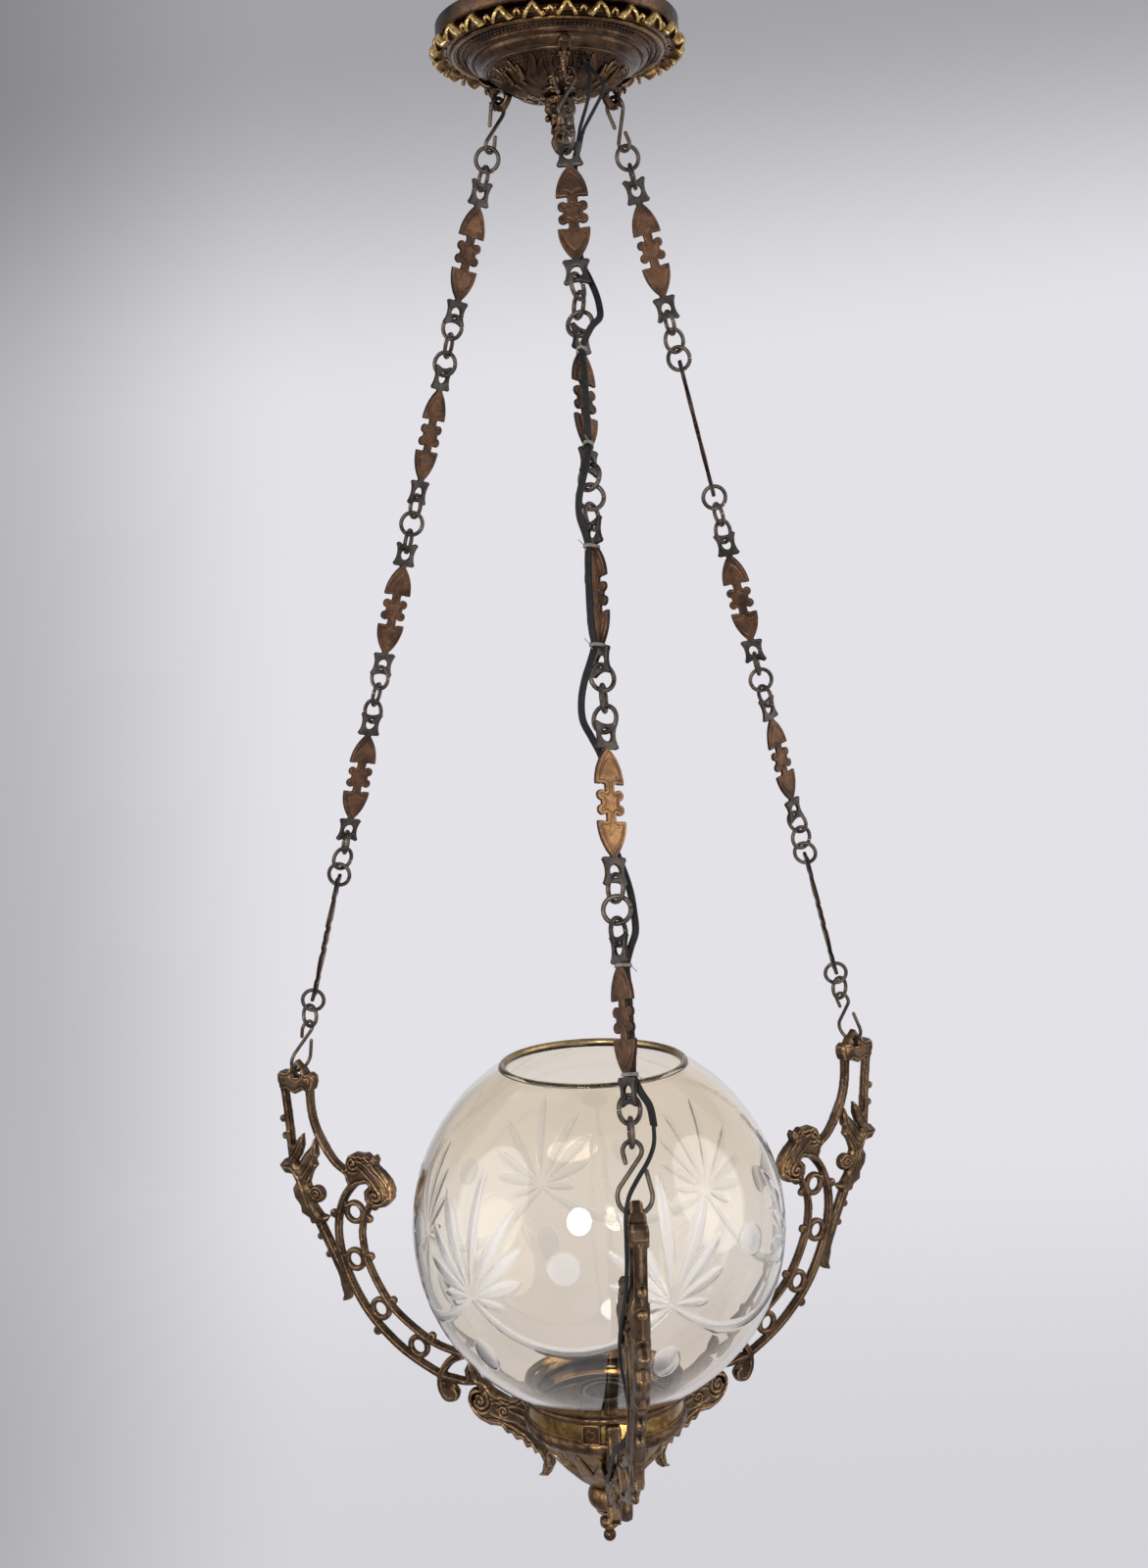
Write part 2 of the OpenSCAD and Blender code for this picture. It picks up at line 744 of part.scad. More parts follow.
module arm_cap_2d() {
    polygon(pts([
        [-5.6, 0], [0, -6.6], [5.6, -0.6], [7.8, 3], [11, 2.4], [14.2, 4.4], [14.6, 9],
        [12.8, 14.4], [7.6, 15], [4.4, 14.6], [-1.4, 18], [-6.2, 16.6], [-8.4, 15], [-13.4, 15],
        [-16.2, 9.6], [-16, 4.6], [-13.4, 2], [-8.4, 3]
    ]));
}

// One cast arm: thin bands with a raised rib along their middle, rings between them, a crown, a
// spray of leaves, a cap with the eye for the hook, and a toothed foot.
module arm(k) {
    color(bronze)
        rotate([0, 0, dirs[k]])
            difference() {
                rotate([90, 0, 0])
                    union() {
                        linear_extrude(arm_t - 1.8, center = true)
                            difference() {
                                union() {
                                    arm_bands_2d(0);
                                    for (p = arm_loops)
                                        dot(p[0], p[1], loop_r);
                                    dot(116.4, 222.6, 6);
                                    dot(141.6, 225.6, 8.4);
                                    beads_2d(arm_outer, [6, 9], 1, band_w / 2 + 1.9, 2.5);
                                    beads_2d(arm_tail, [5, 9, 13, 17], 1, band_w / 2 + 2, 2.4);
                                    beads_2d(arm_main, [16, 25, 34], 1, band_w / 2 + 1.6, 3);
                                    beads_2d(arm_second, [1, 6, 16, 23, 30], -1, band_w / 2 + 1, 2.8);
                                }
                                for (p = arm_loops)
                                    dot(p[0], p[1], loop_r - loop_w);
                            }
                        linear_extrude(arm_t + 0.8, center = true)
                            difference() {
                                arm_bands_2d(2.8);
                                for (p = arm_loops)
                                    dot(p[0], p[1], loop_r - loop_w);
                            }
                        linear_extrude(arm_t, center = true)
                            arm_spray_2d();
                        linear_extrude(arm_t + 2, center = true) {
                            arm_crown_2d();
                            arm_foot_2d();
                        }
                        linear_extrude(cap_t, center = true)
                            arm_cap_2d();
                    }
                for (s = [-1, 1])
                    translate([reach, s * (arm_eye_t / 2 + 5), arm_z + 4])
                        cube([2 * arm_hole + 2.4, 10, 16], center = true);
                translate([reach, 0, arm_z])
                    rotate([90, 0, 0])
                        cylinder(r = arm_hole, h = 20, center = true, $fn = 32);
                translate([0, 0, lip_z])
                    rotate_extrude($fn = 96)
                        translate([seat_r, 0])
                            circle(lip_wire / 2 + 2.1, $fn = 24);
                translate([0, 0, ring_low_z])
                    cylinder(r = gallery_r + foot_gap, h = gallery_h + 8, $fn = 96);
                translate([0, 0, ring_low_z])
                    bowl_form(foot_gap);
                foot_screw_holes();
            }
}

// The bowl's outline below the gallery ring, grown by a gap: a cone with a belly.
bowl_r = gallery_r - 3.5;
bowl_neck_r = 9;
bowl_belly = 22;
function bowl_side(grow) = [
    for (i = [0:12])
        let (t = i / 12)
            [
                bowl_neck_r + grow + (bowl_r - bowl_neck_r) * (1 - t),
                -grow * t - bowl_h * t - bowl_belly * t * (1 - t)
            ]
];
module bowl_form(grow) {
    rotate_extrude($fn = 96)
        polygon(concat([[0, 0.2]], [[bowl_r + grow, 0.2]], bowl_side(grow), [[0, -bowl_h - grow]]));
}

foot_screw_z = lip_z - 16;
foot_screw_d = 4;
module foot_screw_holes() {
    translate([gallery_r - gallery_wall - 1, 0, foot_screw_z])
        rotate([0, 90, 0])
            cylinder(d = foot_screw_d + 0.1, h = 7.6, $fn = 24);
}

// One screw through the gallery ring into the foot of each arm.
module arm_screws() {
    color(brass)
        for (k = [0:2])
            rotate([0, 0, dirs[k]])
                translate([0, 0, foot_screw_z])
                    rotate([0, 90, 0])
                        union() {
                            translate([0, 0, gallery_r - gallery_wall - 1.9])
                                cylinder(d = foot_screw_d + 2.4, h = 1.6, $fn = 24);
                            translate([0, 0, gallery_r - gallery_wall - 0.6])
                                cylinder(d = foot_screw_d, h = 6.6, $fn = 24);
                        }
}

screw_turn = 105;
gallery_screw_z = lip_z - 12.6;
module gallery_ring() {
    low_r = bowl_r;
    color(brass)
        difference() {
            union() {
                translate([0, 0, lip_z])
                    rotate_extrude($fn = 96)
                        union() {
                            translate([seat_r, 0])
                                circle(d = lip_wire, $fn = 24);
                            polygon([
                                [gallery_r - gallery_wall, -1.6], [gallery_r + 0.4, 0.2],
                                [seat_r, 1], [seat_r + 0.8, -0.6], [gallery_r, -3.2],
                                [gallery_r, 2 - gallery_h], [low_r + 2, -gallery_h],
                                [low_r - 2, -gallery_h], [low_r - 2, 1.6 - gallery_h],
                                [gallery_r - gallery_wall, 2.6 - gallery_h]
                            ]);
                        }
                for (i = [0:2])
                    rotate([0, 0, i * 120 - screw_turn])
                        translate([gallery_r - 1, 0, gallery_screw_z])
                            rotate([0, 90, 0])
                                difference() {
                                    translate([-6, -5, 0])
                                        cube([12, 10, 2.4]);
                                    translate([0, 0, 1.6])
                                        cylinder(d = 7.4, h = 2, $fn = 24);
                                }
            }
            for (i = [0:2])
                rotate([0, 0, i * 120 - screw_turn])
                    translate([gallery_r - 4, 0, gallery_screw_z])
                        rotate([0, 90, 0])
                            cylinder(d = gallery_screw_d + 0.1, h = 12, $fn = 24);
            for (k = [0:2])
                rotate([0, 0, dirs[k]])
                    foot_screw_holes();
        }
}

module gallery_screws() {
    color(brass)
        for (i = [0:2])
            rotate([0, 0, i * 120 - screw_turn])
                translate([neck_r + glass_gap, 0, gallery_screw_z])
                    rotate([0, 90, 0])
                        difference() {
                            union() {
                                cylinder(d = gallery_screw_d, h = gallery_r - neck_r + 1, $fn = 24);
                                translate([0, 0, gallery_r - neck_r + 0.3])
                                    cylinder(d = 6.6, h = 2.2, $fn = 24);
                            }
                            translate([-4, -0.5, gallery_r - neck_r + 1.7])
                                cube([8, 1, 2]);
                        }
}

// The hole where the flex enters the bowl.
bowl_hole_dir = -98;
bowl_hole_drop = 13.6;
bowl_hole_d = 7;
module bowl() {
    color(brass)
        translate([0, 0, ring_low_z])
            difference() {
                rotate_extrude($fn = 96)
                    polygon(concat(
                        [[bowl_r, 0]], bowl_side(0), [[0, -bowl_h], [0, bowl_wall - bowl_h]],
                        back(bowl_side(-bowl_wall)), [[bowl_r - bowl_wall, 0]]));
                translate([0, 0, -bowl_h - 1])
                    cylinder(d = rod_d + 0.2, h = 10, $fn = 32);
                rotate([0, 0, bowl_hole_dir])
                    translate([bowl_r - 20, 0, -bowl_hole_drop])
                        rotate([0, 90, 0])
                            cylinder(d = bowl_hole_d, h = 24, $fn = 24);
            }
}
module boss() {
    swell = boss_h / 2;
    color(brass)
        translate([0, 0, boss_low_z])
            difference() {
                rotate_extrude() {
                    intersection() {
                        translate([boss_r - swell, swell])
                            circle(swell, $fn = 48);
                        square([2 * boss_r, boss_h]);
                    }
                    square([boss_r - swell + 1, boss_h]);
                }
                translate([0, 0, -1])
                    cylinder(d = rod_d + 0.1, h = boss_h + 2, $fn = 32);
            }
}

// The finial: a neck, a collar and a ball turned in one piece.
module finial() {
    color(brass)
        translate([0, 0, boss_low_z])
            difference() {
                union() {
                    rotate_extrude()
                        polygon([
                            [0, -0.1], [8.6, -0.1], [8.6, -1.6], [4.4, -4.4], [4.4, -6],
                            [6.4, -7.4], [6.4, -12], [4.2, -14], [2.6, -15.4], [2.6, -18], [0, -18]
                        ]);
                    translate([0, 0, -19.2])
                        sphere(4.3);
                }
                translate([0, 0, -8])
                    cylinder(d = 6.1, h = 9, $fn = 24);
            }
}

module cage_rod() {
    color(iron)
        union() {
            translate([0, 0, boss_low_z + 0.2])
                cylinder(d = rod_d, h = holder_low_z - boss_low_z - 0.3, $fn = 32);
            translate([0, 0, boss_low_z - 7])
                cylinder(d = 6, h = 8, $fn = 24);
        }
}

module cage_nut() {
    color(iron)
        difference() {
            translate([0, 0, bowl_low_z + bowl_wall + 0.3])
                cylinder(d = rod_d + 4, h = 3.6, $fn = 6);
            translate([0, 0, bowl_low_z])
                cylinder(d = rod_d + 0.1, h = 12, $fn = 32);
        }
}

module lampholder_shell() {
    color(brass)
        translate([0, 0, holder_low_z])
            difference() {
                union() {
                    cylinder(d = 16, h = 6);
                    translate([0, 0, 4])
                        cylinder(d = holder_d, h = holder_h - 4, $fn = 64);
                    translate([0, 0, holder_h - 3])
                        cylinder(d = holder_d + 3, h = 3, $fn = 64);
                }
                translate([0, 0, 6])
                    cylinder(d = holder_d - 3, h = holder_h, $fn = 64);
                translate([0, 0, -1])
                    cylinder(d = 6, h = 10, $fn = 24);
                translate([0, -13, 3])
                    cylinder(d = 6, h = 10, $fn = 24);
            }
}

module lampholder_insert() {
    color("#efe9dc")
        translate([0, 0, holder_low_z + 6.2])
            difference() {
                union() {
                    cylinder(d = holder_d - 3.4, h = 10, $fn = 64);
                    cylinder(d = socket_d + 4.4, h = holder_h - 7, $fn = 64);
                }
                translate([0, 0, 12])
                    cylinder(d = socket_d, h = holder_h, $fn = 64);
            }
}

module globe() {
    rim = 1.6;
    neck_in = neck_r - globe_wall + 1;
    color("#d8cfc0", 0.5)
        rotate_extrude($fn = 128)
            union() {
                difference() {
                    translate([0, globe_z])
                        circle(globe_r, $fn = 128);
                    translate([0, globe_z])
                        circle(globe_r - globe_wall, $fn = 128);
                    translate([-2 * globe_r, -2000])
                        square([2 * globe_r, 3000]);
                    translate([0, mouth_z])
                        square([2 * globe_r, globe_r]);
                    translate([0, lip_z - 60])
                        square([neck_in, 70]);
                    translate([0, lip_z - globe_r - 2])
                        square([2 * globe_r, globe_r]);
                }
                translate([mouth_r - 1.9, mouth_z - 0.4])
                    circle(rim + 0.8, $fn = 24);
                polygon([
                    [neck_in, neck_low_z], [neck_r, neck_low_z], [neck_r, lip_z - 3.4],
                    [neck_r + 1.6, lip_z - 1.6], [neck_r + 1.6, lip_z + 3], [neck_in, lip_z + 3]
                ]);
            }
}

// Routes of the flex. On the chain they are [distance down it, across to the right, out to the
// front]; the others are in the lantern's own frame.
entry_route = [
    [24, -7.4, -8], [22, -14, -9.6], [19, -22, -13.4], [15.6, -28.6, -19.6], [13.2, -32.4, -25],
    [12.2, -34.5, -29.4], [12.9, -36.8, -33.2]
];
strand_a = [
    [-2.4, 12.4, -1.4], [3, 13.6, 0.4], [8, 15, 2], [14, 15.2, 3], [21, 14.2, 2.6], [28, 12.4, 0],
    [34, 10, -5], [38.6, 8, -8.4]
];
strand_b = [
    [-2.4, 15, -1.4], [3, 16.6, 0], [8, 19.4, 1.6], [12, 22.2, 2.6], [16.4, 23.2, 3], [23, 21.6, 3],
    [30, 17.4, 0.4], [35, 13.6, -4.4], [38.6, 10.8, -8.4]
];
chain_route = [
    [40.2, 9, -8.8], [49, 7, -10.4], [58, 4.6, -8.6], [68, 3, -6], [84, 2, -5], [110, 2, -5],
    [128, 4, -7], [138, 8, -8], [150, 11, -4], [162, 12, 2], [172, 11, 8], [180, 5, 11.5],
    [190.4, -0.4, 5.6], [202, 0, 6.4], [220, 0, 7], [239, 0, 6.4], [249.5, 0, 5.6], [262, -2, 10],
    [273, -5, 12.5], [285, -8, 11.5], [295, -8, 8.4], [304, -5, 4.6], [310.9, -3.6, 2.5],
    [322, -4.4, 3.4], [346, -5, 4], [361, -4.6, 3.2], [369.9, -3.6, 2.6], [380, -6.6, 6],
    [391, -10.6, 8], [402, -13, 5], [413, -12.6, 1], [422, -8, -3], [432, -3, -6], [446, 0, -6],
    [466, 0, -6], [482, 1, -7], [492, 4, -8.6], [502, 7, -8], [512, 9, -6.6], [522, 9.8, -5],
    [533, 9.8, -2.8], [542, 6.6, -4.6], [551.7, 3.6, -2.4], [562, 3.8, -3], [580, 3.8, -3.4],
    [600, 3.8, -3], [610.5, 3.4, -2.7], [620, 6.8, -2.6], [628, 11, -0.4], [637, 12, 3]
];
bottom_route = [
    [12, -227, -648.6], [11.4, -231, -657.6], [7.6, -235.4, -665.4],
    [1.4, -239.4, -673.4], [-4, -242.8, -681.6], [-6.4, -244.8, -691.4], [-6.6, -244.8, -704], [-6.4, -242, -717],
    [-6.2, -235, -730], [-6, -223, -744], [-6, -209, -757.4], [-6, -194, -772], [-6, -182, -787],
    [-5.4, -177.4, -801], [-3.4, -176.6, -814], [-1.6, -175.6, -828], [-1, -171, -841],
    [-2, -163, -852], [-4.4, -153.6, -861], [-6.4, -143, -868.6], [-6.8, -132, -876],
    [-6.8, -121, -884.4], [-6.8, -111, -893.6], [-6.8, -100.6, -903], [-6.8, -90, -911.6],
    [-6.8, -78.6, -919], [-6.8, -66, -925.6],
    [-6.6, -53, -929.6], [-6, -42, -930.6], [-5.4, -37, -930.8]
];
// The string ties, on the narrow necks of the links, as [link, end, across, out].
ties = [[1, 0, -0.4, 5.6], [1, 1, 0, 5.6], [2, 0, -3.6, 2.5], [2, 1, -3.6, 2.6], [4, 0, 3.6, -2.4], [4, 1, 3.4, -2.7]];
tie_neck = 9.3;

function chain_point(p) = [
    p[1],
    -lug_r - p[0] * sin(tilt) - p[2] * cos(tilt),
    lug_z - p[0] * cos(tilt) + p[2] * sin(tilt)
];
function unit(v) = v / norm(v);

// A tube of 8 sides along a curve through the points, w wide across and t thick.
module tube(list, w, t, n) {
    c = curve(list, n);
    sides = 8;
    last = len(c) - 1;
    points = [
        for (i = [0:last])
            let (d = heading(c, i), x = unit(cross(d, [0, 1, 0.001])), y = cross(d, x))
                for (j = [0:sides - 1])
                    c[i] + w / 2 * cos(j * 360 / sides) * x + t / 2 * sin(j * 360 / sides) * y
    ];
    skin = [
        for (i = [0:last - 1], j = [0:sides - 1])
            let (a = i * sides + j, b = i * sides + (j + 1) % sides)
                each [[a, a + sides, b + sides], [a, b + sides, b]]
    ];
    polyhedron(points, concat(
        skin,
        [[for (j = [0:sides - 1]) j]],
        [[for (j = [sides - 1:-1:0]) last * sides + j]]));
}

module flex_entry() {
    color("#1e1c1b")
        tube(entry_route, 4.4, 2.2, 1);
}

module flex_top() {
    color("#1e1c1b") {
        tube([for (p = strand_a) chain_point(p)], strand_w, strand_w, 2);
        tube([for (p = strand_b) chain_point(p)], strand_w, strand_w, 2);
    }
}

module flex_chain() {
    color("#1e1c1b")
        tube([for (p = chain_route) chain_point(p)], flex_w, flex_t, 1);
}

module flex_bottom() {
    color("#1e1c1b")
        tube(bottom_route, flex_t, flex_w, 1);
}

// A loop of string round a link's neck and the flex beside it.
module tie_2d(dist, r_neck, r_flex) {
    circle(r_neck);
    translate([dist, 0])
        circle(r_flex);
    translate([0, -r_flex])
        square([dist, 2 * r_flex]);
}

module flex_ties() {
    string = 0.7;
    neck_r_in = 3.2;
    flex_r_in = 2.7;
    color("#8d8578")
        for (p = ties)
            on_chain(0)
                translate([0, 0, -link_1_s - p[0] * link_pitch - (p[1] == 0 ? tie_neck : link_len - tie_neck)])
                    rotate([0, 0, atan2(p[2], p[3])])
                        linear_extrude(1.2, center = true)
                            difference() {
                                tie_2d(norm([p[2], p[3]]), neck_r_in + string, flex_r_in + string);
                                tie_2d(norm([p[2], p[3]]), neck_r_in, flex_r_in);
                            }
}

canopy();
leaf_rim();
bracket(0);  // bracket_front
bracket(1);  // bracket_right
bracket(2);  // bracket_left
pendant_knob();
rose_rod();
crossbar();
rose_nut();
lead_connector();
flex_bush();
top_hook(0);  // front_top_hook
bottom_hook(0);  // front_bottom_hook
rings(0);  // front_rings
chain_link(0, 0);  // front_link_1
chain_link(0, 1);  // front_link_2
chain_link(0, 2);  // front_link_3
chain_link(0, 3);  // front_link_4
chain_link(0, 4);  // front_link_5
top_hook(1);  // right_top_hook
bottom_hook(1);  // right_bottom_hook
rings(1);  // right_rings
chain_link(1, 0);  // right_link_1
chain_link(1, 1);  // right_link_2
chain_link(1, 2);  // right_link_3
chain_link(1, 3);  // right_link_4
chain_link(1, 4);  // right_link_5
top_hook(2);  // left_top_hook
bottom_hook(2);  // left_bottom_hook
rings(2);  // left_rings
chain_link(2, 0);  // left_link_1
chain_link(2, 1);  // left_link_2
chain_link(2, 2);  // left_link_3
chain_link(2, 3);  // left_link_4
chain_link(2, 4);  // left_link_5
arm(0);  // arm_front
arm(1);  // arm_right
arm(2);  // arm_left
arm_screws();
gallery_ring();
gallery_screws();
bowl();
boss();
finial();
cage_rod();
cage_nut();
lampholder_shell();
lampholder_insert();
globe();
flex_entry();
flex_top();
flex_chain();
flex_bottom();
flex_ties();
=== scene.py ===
import json
import math
import random

import bmesh
import bpy
import numpy as np
from mathutils import Matrix, Vector
from mathutils.kdtree import KDTree


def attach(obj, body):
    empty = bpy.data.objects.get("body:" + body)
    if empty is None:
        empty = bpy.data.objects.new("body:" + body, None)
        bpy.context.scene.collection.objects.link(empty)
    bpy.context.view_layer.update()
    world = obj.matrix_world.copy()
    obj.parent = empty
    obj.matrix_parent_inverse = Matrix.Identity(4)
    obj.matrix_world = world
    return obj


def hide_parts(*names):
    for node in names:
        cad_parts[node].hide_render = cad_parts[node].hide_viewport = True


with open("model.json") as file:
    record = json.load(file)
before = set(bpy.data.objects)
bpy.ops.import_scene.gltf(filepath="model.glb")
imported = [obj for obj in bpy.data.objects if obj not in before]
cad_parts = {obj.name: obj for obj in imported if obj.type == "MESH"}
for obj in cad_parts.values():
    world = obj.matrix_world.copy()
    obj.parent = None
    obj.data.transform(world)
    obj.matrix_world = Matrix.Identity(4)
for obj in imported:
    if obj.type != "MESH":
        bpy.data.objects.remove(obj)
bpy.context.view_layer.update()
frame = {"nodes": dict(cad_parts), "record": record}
NODES = frame["nodes"]
BODY = {node: body for body, members in frame["record"]["behaviour"]["bodies"].items() for node in members}
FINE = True

# Sizes of the lantern, in millimetres, as in its CAD source.
REACH = 237.0
LUG_R = 42.0
LUG_Z = -38.0
CHAIN_LEN = 685.06
TILT = math.asin((REACH - LUG_R) / CHAIN_LEN)
ARM_Z = LUG_Z - CHAIN_LEN * math.cos(TILT)
LIP_Z = ARM_Z - 198.0
LIP_WIRE = 2.4
GALLERY_R = 53.5
GALLERY_H = 24.0
GALLERY_WALL = 2.0
SEAT_R = GALLERY_R + 1.5
GLOBE_R = 125.0
GLOBE_Z = LIP_Z + (GLOBE_R + 1.6) * math.cos(math.asin(SEAT_R / (GLOBE_R + 1.6)))
MOUTH_R = 63.0
NECK_R = 48.5
MOUTH_Z = GLOBE_Z + math.sqrt(GLOBE_R ** 2 - MOUTH_R ** 2)
RING_LOW_Z = LIP_Z - GALLERY_H
BOWL_R = GALLERY_R - 3.5
BOWL_H = 44.0
BOWL_NECK_R = 9.0
BOWL_BELLY = 22.0
BOWL_WALL = 1.6
BOWL_LOW_Z = RING_LOW_Z - BOWL_H
BOSS_R = 14.0
BOSS_H = 19.4
BOSS_LOW_Z = BOWL_LOW_Z - BOSS_H
ROSE_R = 77.0
ROSE_WALL = 1.4
FLOOR_Z = -45.4
BALL_R = 70.8
BALL_Z = FLOOR_Z + BALL_R
DIRS = {"front": -90.0, "right": 30.0, "left": 150.0}
LINK_LEN = 77.6
LINK_T = 2.6
LINK_1_S = 60.64
LINK_PITCH = 120.434
RING_R = 7.6
RING_WIRE = 2.8
RING_S = [39.226, 51.326, 629.296, 641.396]
RING_S += [147.56 + 12.1 * k + LINK_PITCH * gap for gap in range(4) for k in range(3)]
RING_S.sort()
RING_TURNS = {
    "front": [60, 110, 55, 108, 157, 134, 4, 54, 24, 75, 142, 118, 172, 52, 35, 90],
    "right": [15, 85, 100, 30, 152, 170, 100, 40, 74, 0, 112, 130, 25, 156, 172, 40],
    "left": [165, 110, 144, 75, 154, 116, 20, 105, 138, 75, 138, 102, 40, 165, 178, 130],
}
LINK_TURNS = {
    "front": [-8, 45, -58, 32, -60],
    "right": [15, 80, -35, 40, 85],
    "left": [35, 45, 30, 30, 85],
}


def clamp01(x):
    return np.clip(x, 0.0, 1.0)


def smooth01(x):
    x = clamp01(x)
    return x * x * (3.0 - 2.0 * x)


def bump01(x, width):
    return np.exp(-(x / width) ** 2)


# Materials

def new_material(name):
    m = bpy.data.materials.new(name)
    m.use_nodes = True
    nt = m.node_tree
    nt.nodes.clear()
    out = nt.nodes.new("ShaderNodeOutputMaterial")
    bsdf = nt.nodes.new("ShaderNodeBsdfPrincipled")
    nt.links.new(bsdf.outputs[0], out.inputs[0])
    return m, nt, bsdf


def noise(nt, coords, scale, detail=5.0, rough=0.6, distort=0.0):
    n = nt.nodes.new("ShaderNodeTexNoise")
    n.inputs["Scale"].default_value = scale
    n.inputs["Detail"].default_value = detail
    n.inputs["Roughness"].default_value = rough
    n.inputs["Distortion"].default_value = distort
    nt.links.new(coords, n.inputs["Vector"])
    return n.outputs["Fac"]


def ramp(nt, value, low, high, a=0.0, b=1.0):
    r = nt.nodes.new("ShaderNodeMapRange")
    r.interpolation_type = "SMOOTHSTEP"
    r.inputs["From Min"].default_value = low
    r.inputs["From Max"].default_value = high
    r.inputs["To Min"].default_value = a
    r.inputs["To Max"].default_value = b
    nt.links.new(value, r.inputs["Value"])
    return r.outputs[0]


def math_node(nt, op, a, b=None):
    n = nt.nodes.new("ShaderNodeMath")
    n.operation = op
    for i, v in enumerate((a, b)):
        if v is None:
            continue
        if isinstance(v, (int, float)):
            n.inputs[i].default_value = v
        else:
            nt.links.new(v, n.inputs[i])
    return n.outputs[0]


def mix_colour(nt, fac, a, b):
    n = nt.nodes.new("ShaderNodeMix")
    n.data_type = "RGBA"
    nt.links.new(fac, n.inputs[0])
    for i, v in ((6, a), (7, b)):
        if isinstance(v, tuple):
            n.inputs[i].default_value = (*v, 1.0)
        else:
            nt.links.new(v, n.inputs[i])
    return n.outputs[2]


def attribute(nt, name):
    n = nt.nodes.new("ShaderNodeAttribute")
    n.attribute_name = name
    return n.outputs["Fac"]


def add_bump(nt, bsdf, height, strength, distance):
    b = nt.nodes.new("ShaderNodeBump")
    b.inputs["Strength"].default_value = strength
    b.inputs["Distance"].default_value = distance
    nt.links.new(height, b.inputs["Height"])
    nt.links.new(b.outputs[0], bsdf.inputs["Normal"])


def metal(name, dark, mid, bright, rough=(0.3, 0.5), patch=(0.35, 0.62), wear=1.0, edges=0.3, bump=0.35,
          scale=1.0, plate=None, metallic=1.0):
    """Old cast or turned metal: two tones of patina in patches, a brighter one where the wear attribute is
    high and along sharp edges, and a darker one in the hollows and where a build sets the wear attribute low
    as painted shade. Near black is painted shade where the shade attribute is high. The zone attribute,
    where a mesh has it, changes the patina to the plate colours."""
    m, nt, bsdf = new_material(name)
    tc = nt.nodes.new("ShaderNodeTexCoord").outputs["Object"]
    broad = noise(nt, tc, 70.0 * scale, 6.0, 0.62, 0.4)
    fine = noise(nt, tc, 420.0 * scale, 5.0, 0.6)
    grit = noise(nt, tc, 1900.0 * scale, 3.0, 0.55)
    patches = ramp(nt, broad, patch[0], patch[1])
    base = mix_colour(nt, patches, dark, mid)
    if plate:
        base = mix_colour(nt, attribute(nt, "zone"), base, mix_colour(nt, patches, *plate))
    black = tuple(0.3 * c for c in dark)
    base = mix_colour(nt, ramp(nt, fine, 0.45, 0.72, 0.0, 0.5), base, dark)
    curve = attribute(nt, "wear")
    # Darker where the wear attribute is below zero: patina in the hollows, and painted shade where a build sets it low,
    # as inside the bowl.
    base = mix_colour(nt, ramp(nt, curve, 0.0, -0.6, 0.0, 0.85), base, black)
    # Painted shade: near black where the shade attribute is high, on the links' side walls and engraved lines.
    base = mix_colour(nt, attribute(nt, "shade"), base, black)
    bevel = nt.nodes.new("ShaderNodeBevel")
    bevel.samples = 4
    bevel.inputs["Radius"].default_value = 0.0006
    geo = nt.nodes.new("ShaderNodeNewGeometry")
    dot = nt.nodes.new("ShaderNodeVectorMath")
    dot.operation = "DOT_PRODUCT"
    nt.links.new(bevel.outputs[0], dot.inputs[0])
    nt.links.new(geo.outputs["Normal"], dot.inputs[1])
    edge = ramp(nt, dot.outputs["Value"], 0.99, 0.88, 0.0, edges)
    high = ramp(nt, curve, 0.15, 0.8)
    mask = math_node(nt, "MAXIMUM", edge, high)
    mask = math_node(nt, "MULTIPLY", mask, ramp(nt, fine, 0.35, 0.62, 0.15, 1.0))
    mask = math_node(nt, "MULTIPLY", mask, wear)
    base = mix_colour(nt, mask, base, bright)
    nt.links.new(base, bsdf.inputs["Base Color"])
    bsdf.inputs["Metallic"].default_value = metallic
    spread = math_node(nt, "MULTIPLY", mask, -0.12)
    nt.links.new(math_node(nt, "ADD", ramp(nt, fine, 0.3, 0.7, *rough), spread), bsdf.inputs["Roughness"])
    h = math_node(nt, "ADD", math_node(nt, "MULTIPLY", fine, 0.7), math_node(nt, "MULTIPLY", grit, 0.3))
    add_bump(nt, bsdf, h, bump, 0.0004)
    return m


IRON_PLATE = ((0.030, 0.028, 0.026), (0.085, 0.076, 0.066))
ARM_BRONZE = metal("arm_bronze", (0.038, 0.024, 0.016), (0.118, 0.076, 0.047), (0.42, 0.25, 0.12), (0.32, 0.5),
                   wear=0.85, edges=0.2)
ROSE_BRONZE = metal("rose_bronze", (0.040, 0.024, 0.016), (0.110, 0.063, 0.037), (0.38, 0.24, 0.11),
                    (0.24, 0.42), wear=0.85, edges=0.1)
LEAF_BRASS = metal("leaf_brass", (0.080, 0.042, 0.020), (0.22, 0.125, 0.052), (0.60, 0.42, 0.16), (0.2, 0.36),
                   wear=1.1)
IRON = metal("wire_iron", (0.042, 0.035, 0.030), (0.115, 0.092, 0.074), (0.27, 0.18, 0.11), (0.36, 0.55),
             edges=0.2, metallic=0.9)
COPPER = metal("link_copper", (0.046, 0.026, 0.017), (0.135, 0.068, 0.036), (0.26, 0.15, 0.085), (0.38, 0.55),
               edges=0.15, plate=IRON_PLATE, metallic=0.85)
BRIGHT = metal("bright_copper", (0.13, 0.066, 0.030), (0.33, 0.170, 0.068), (0.48, 0.27, 0.12), (0.4, 0.56),
               edges=0.15, plate=IRON_PLATE, metallic=0.75)
GALLERY = metal("gallery_brass", (0.14, 0.075, 0.024), (0.42, 0.26, 0.085), (0.80, 0.58, 0.24), (0.1, 0.26),
                patch=(0.38, 0.6), bump=0.08)
BOWL_BRASS = metal("bowl_brass", (0.095, 0.055, 0.026), (0.25, 0.155, 0.068), (0.52, 0.36, 0.16), (0.28, 0.45))
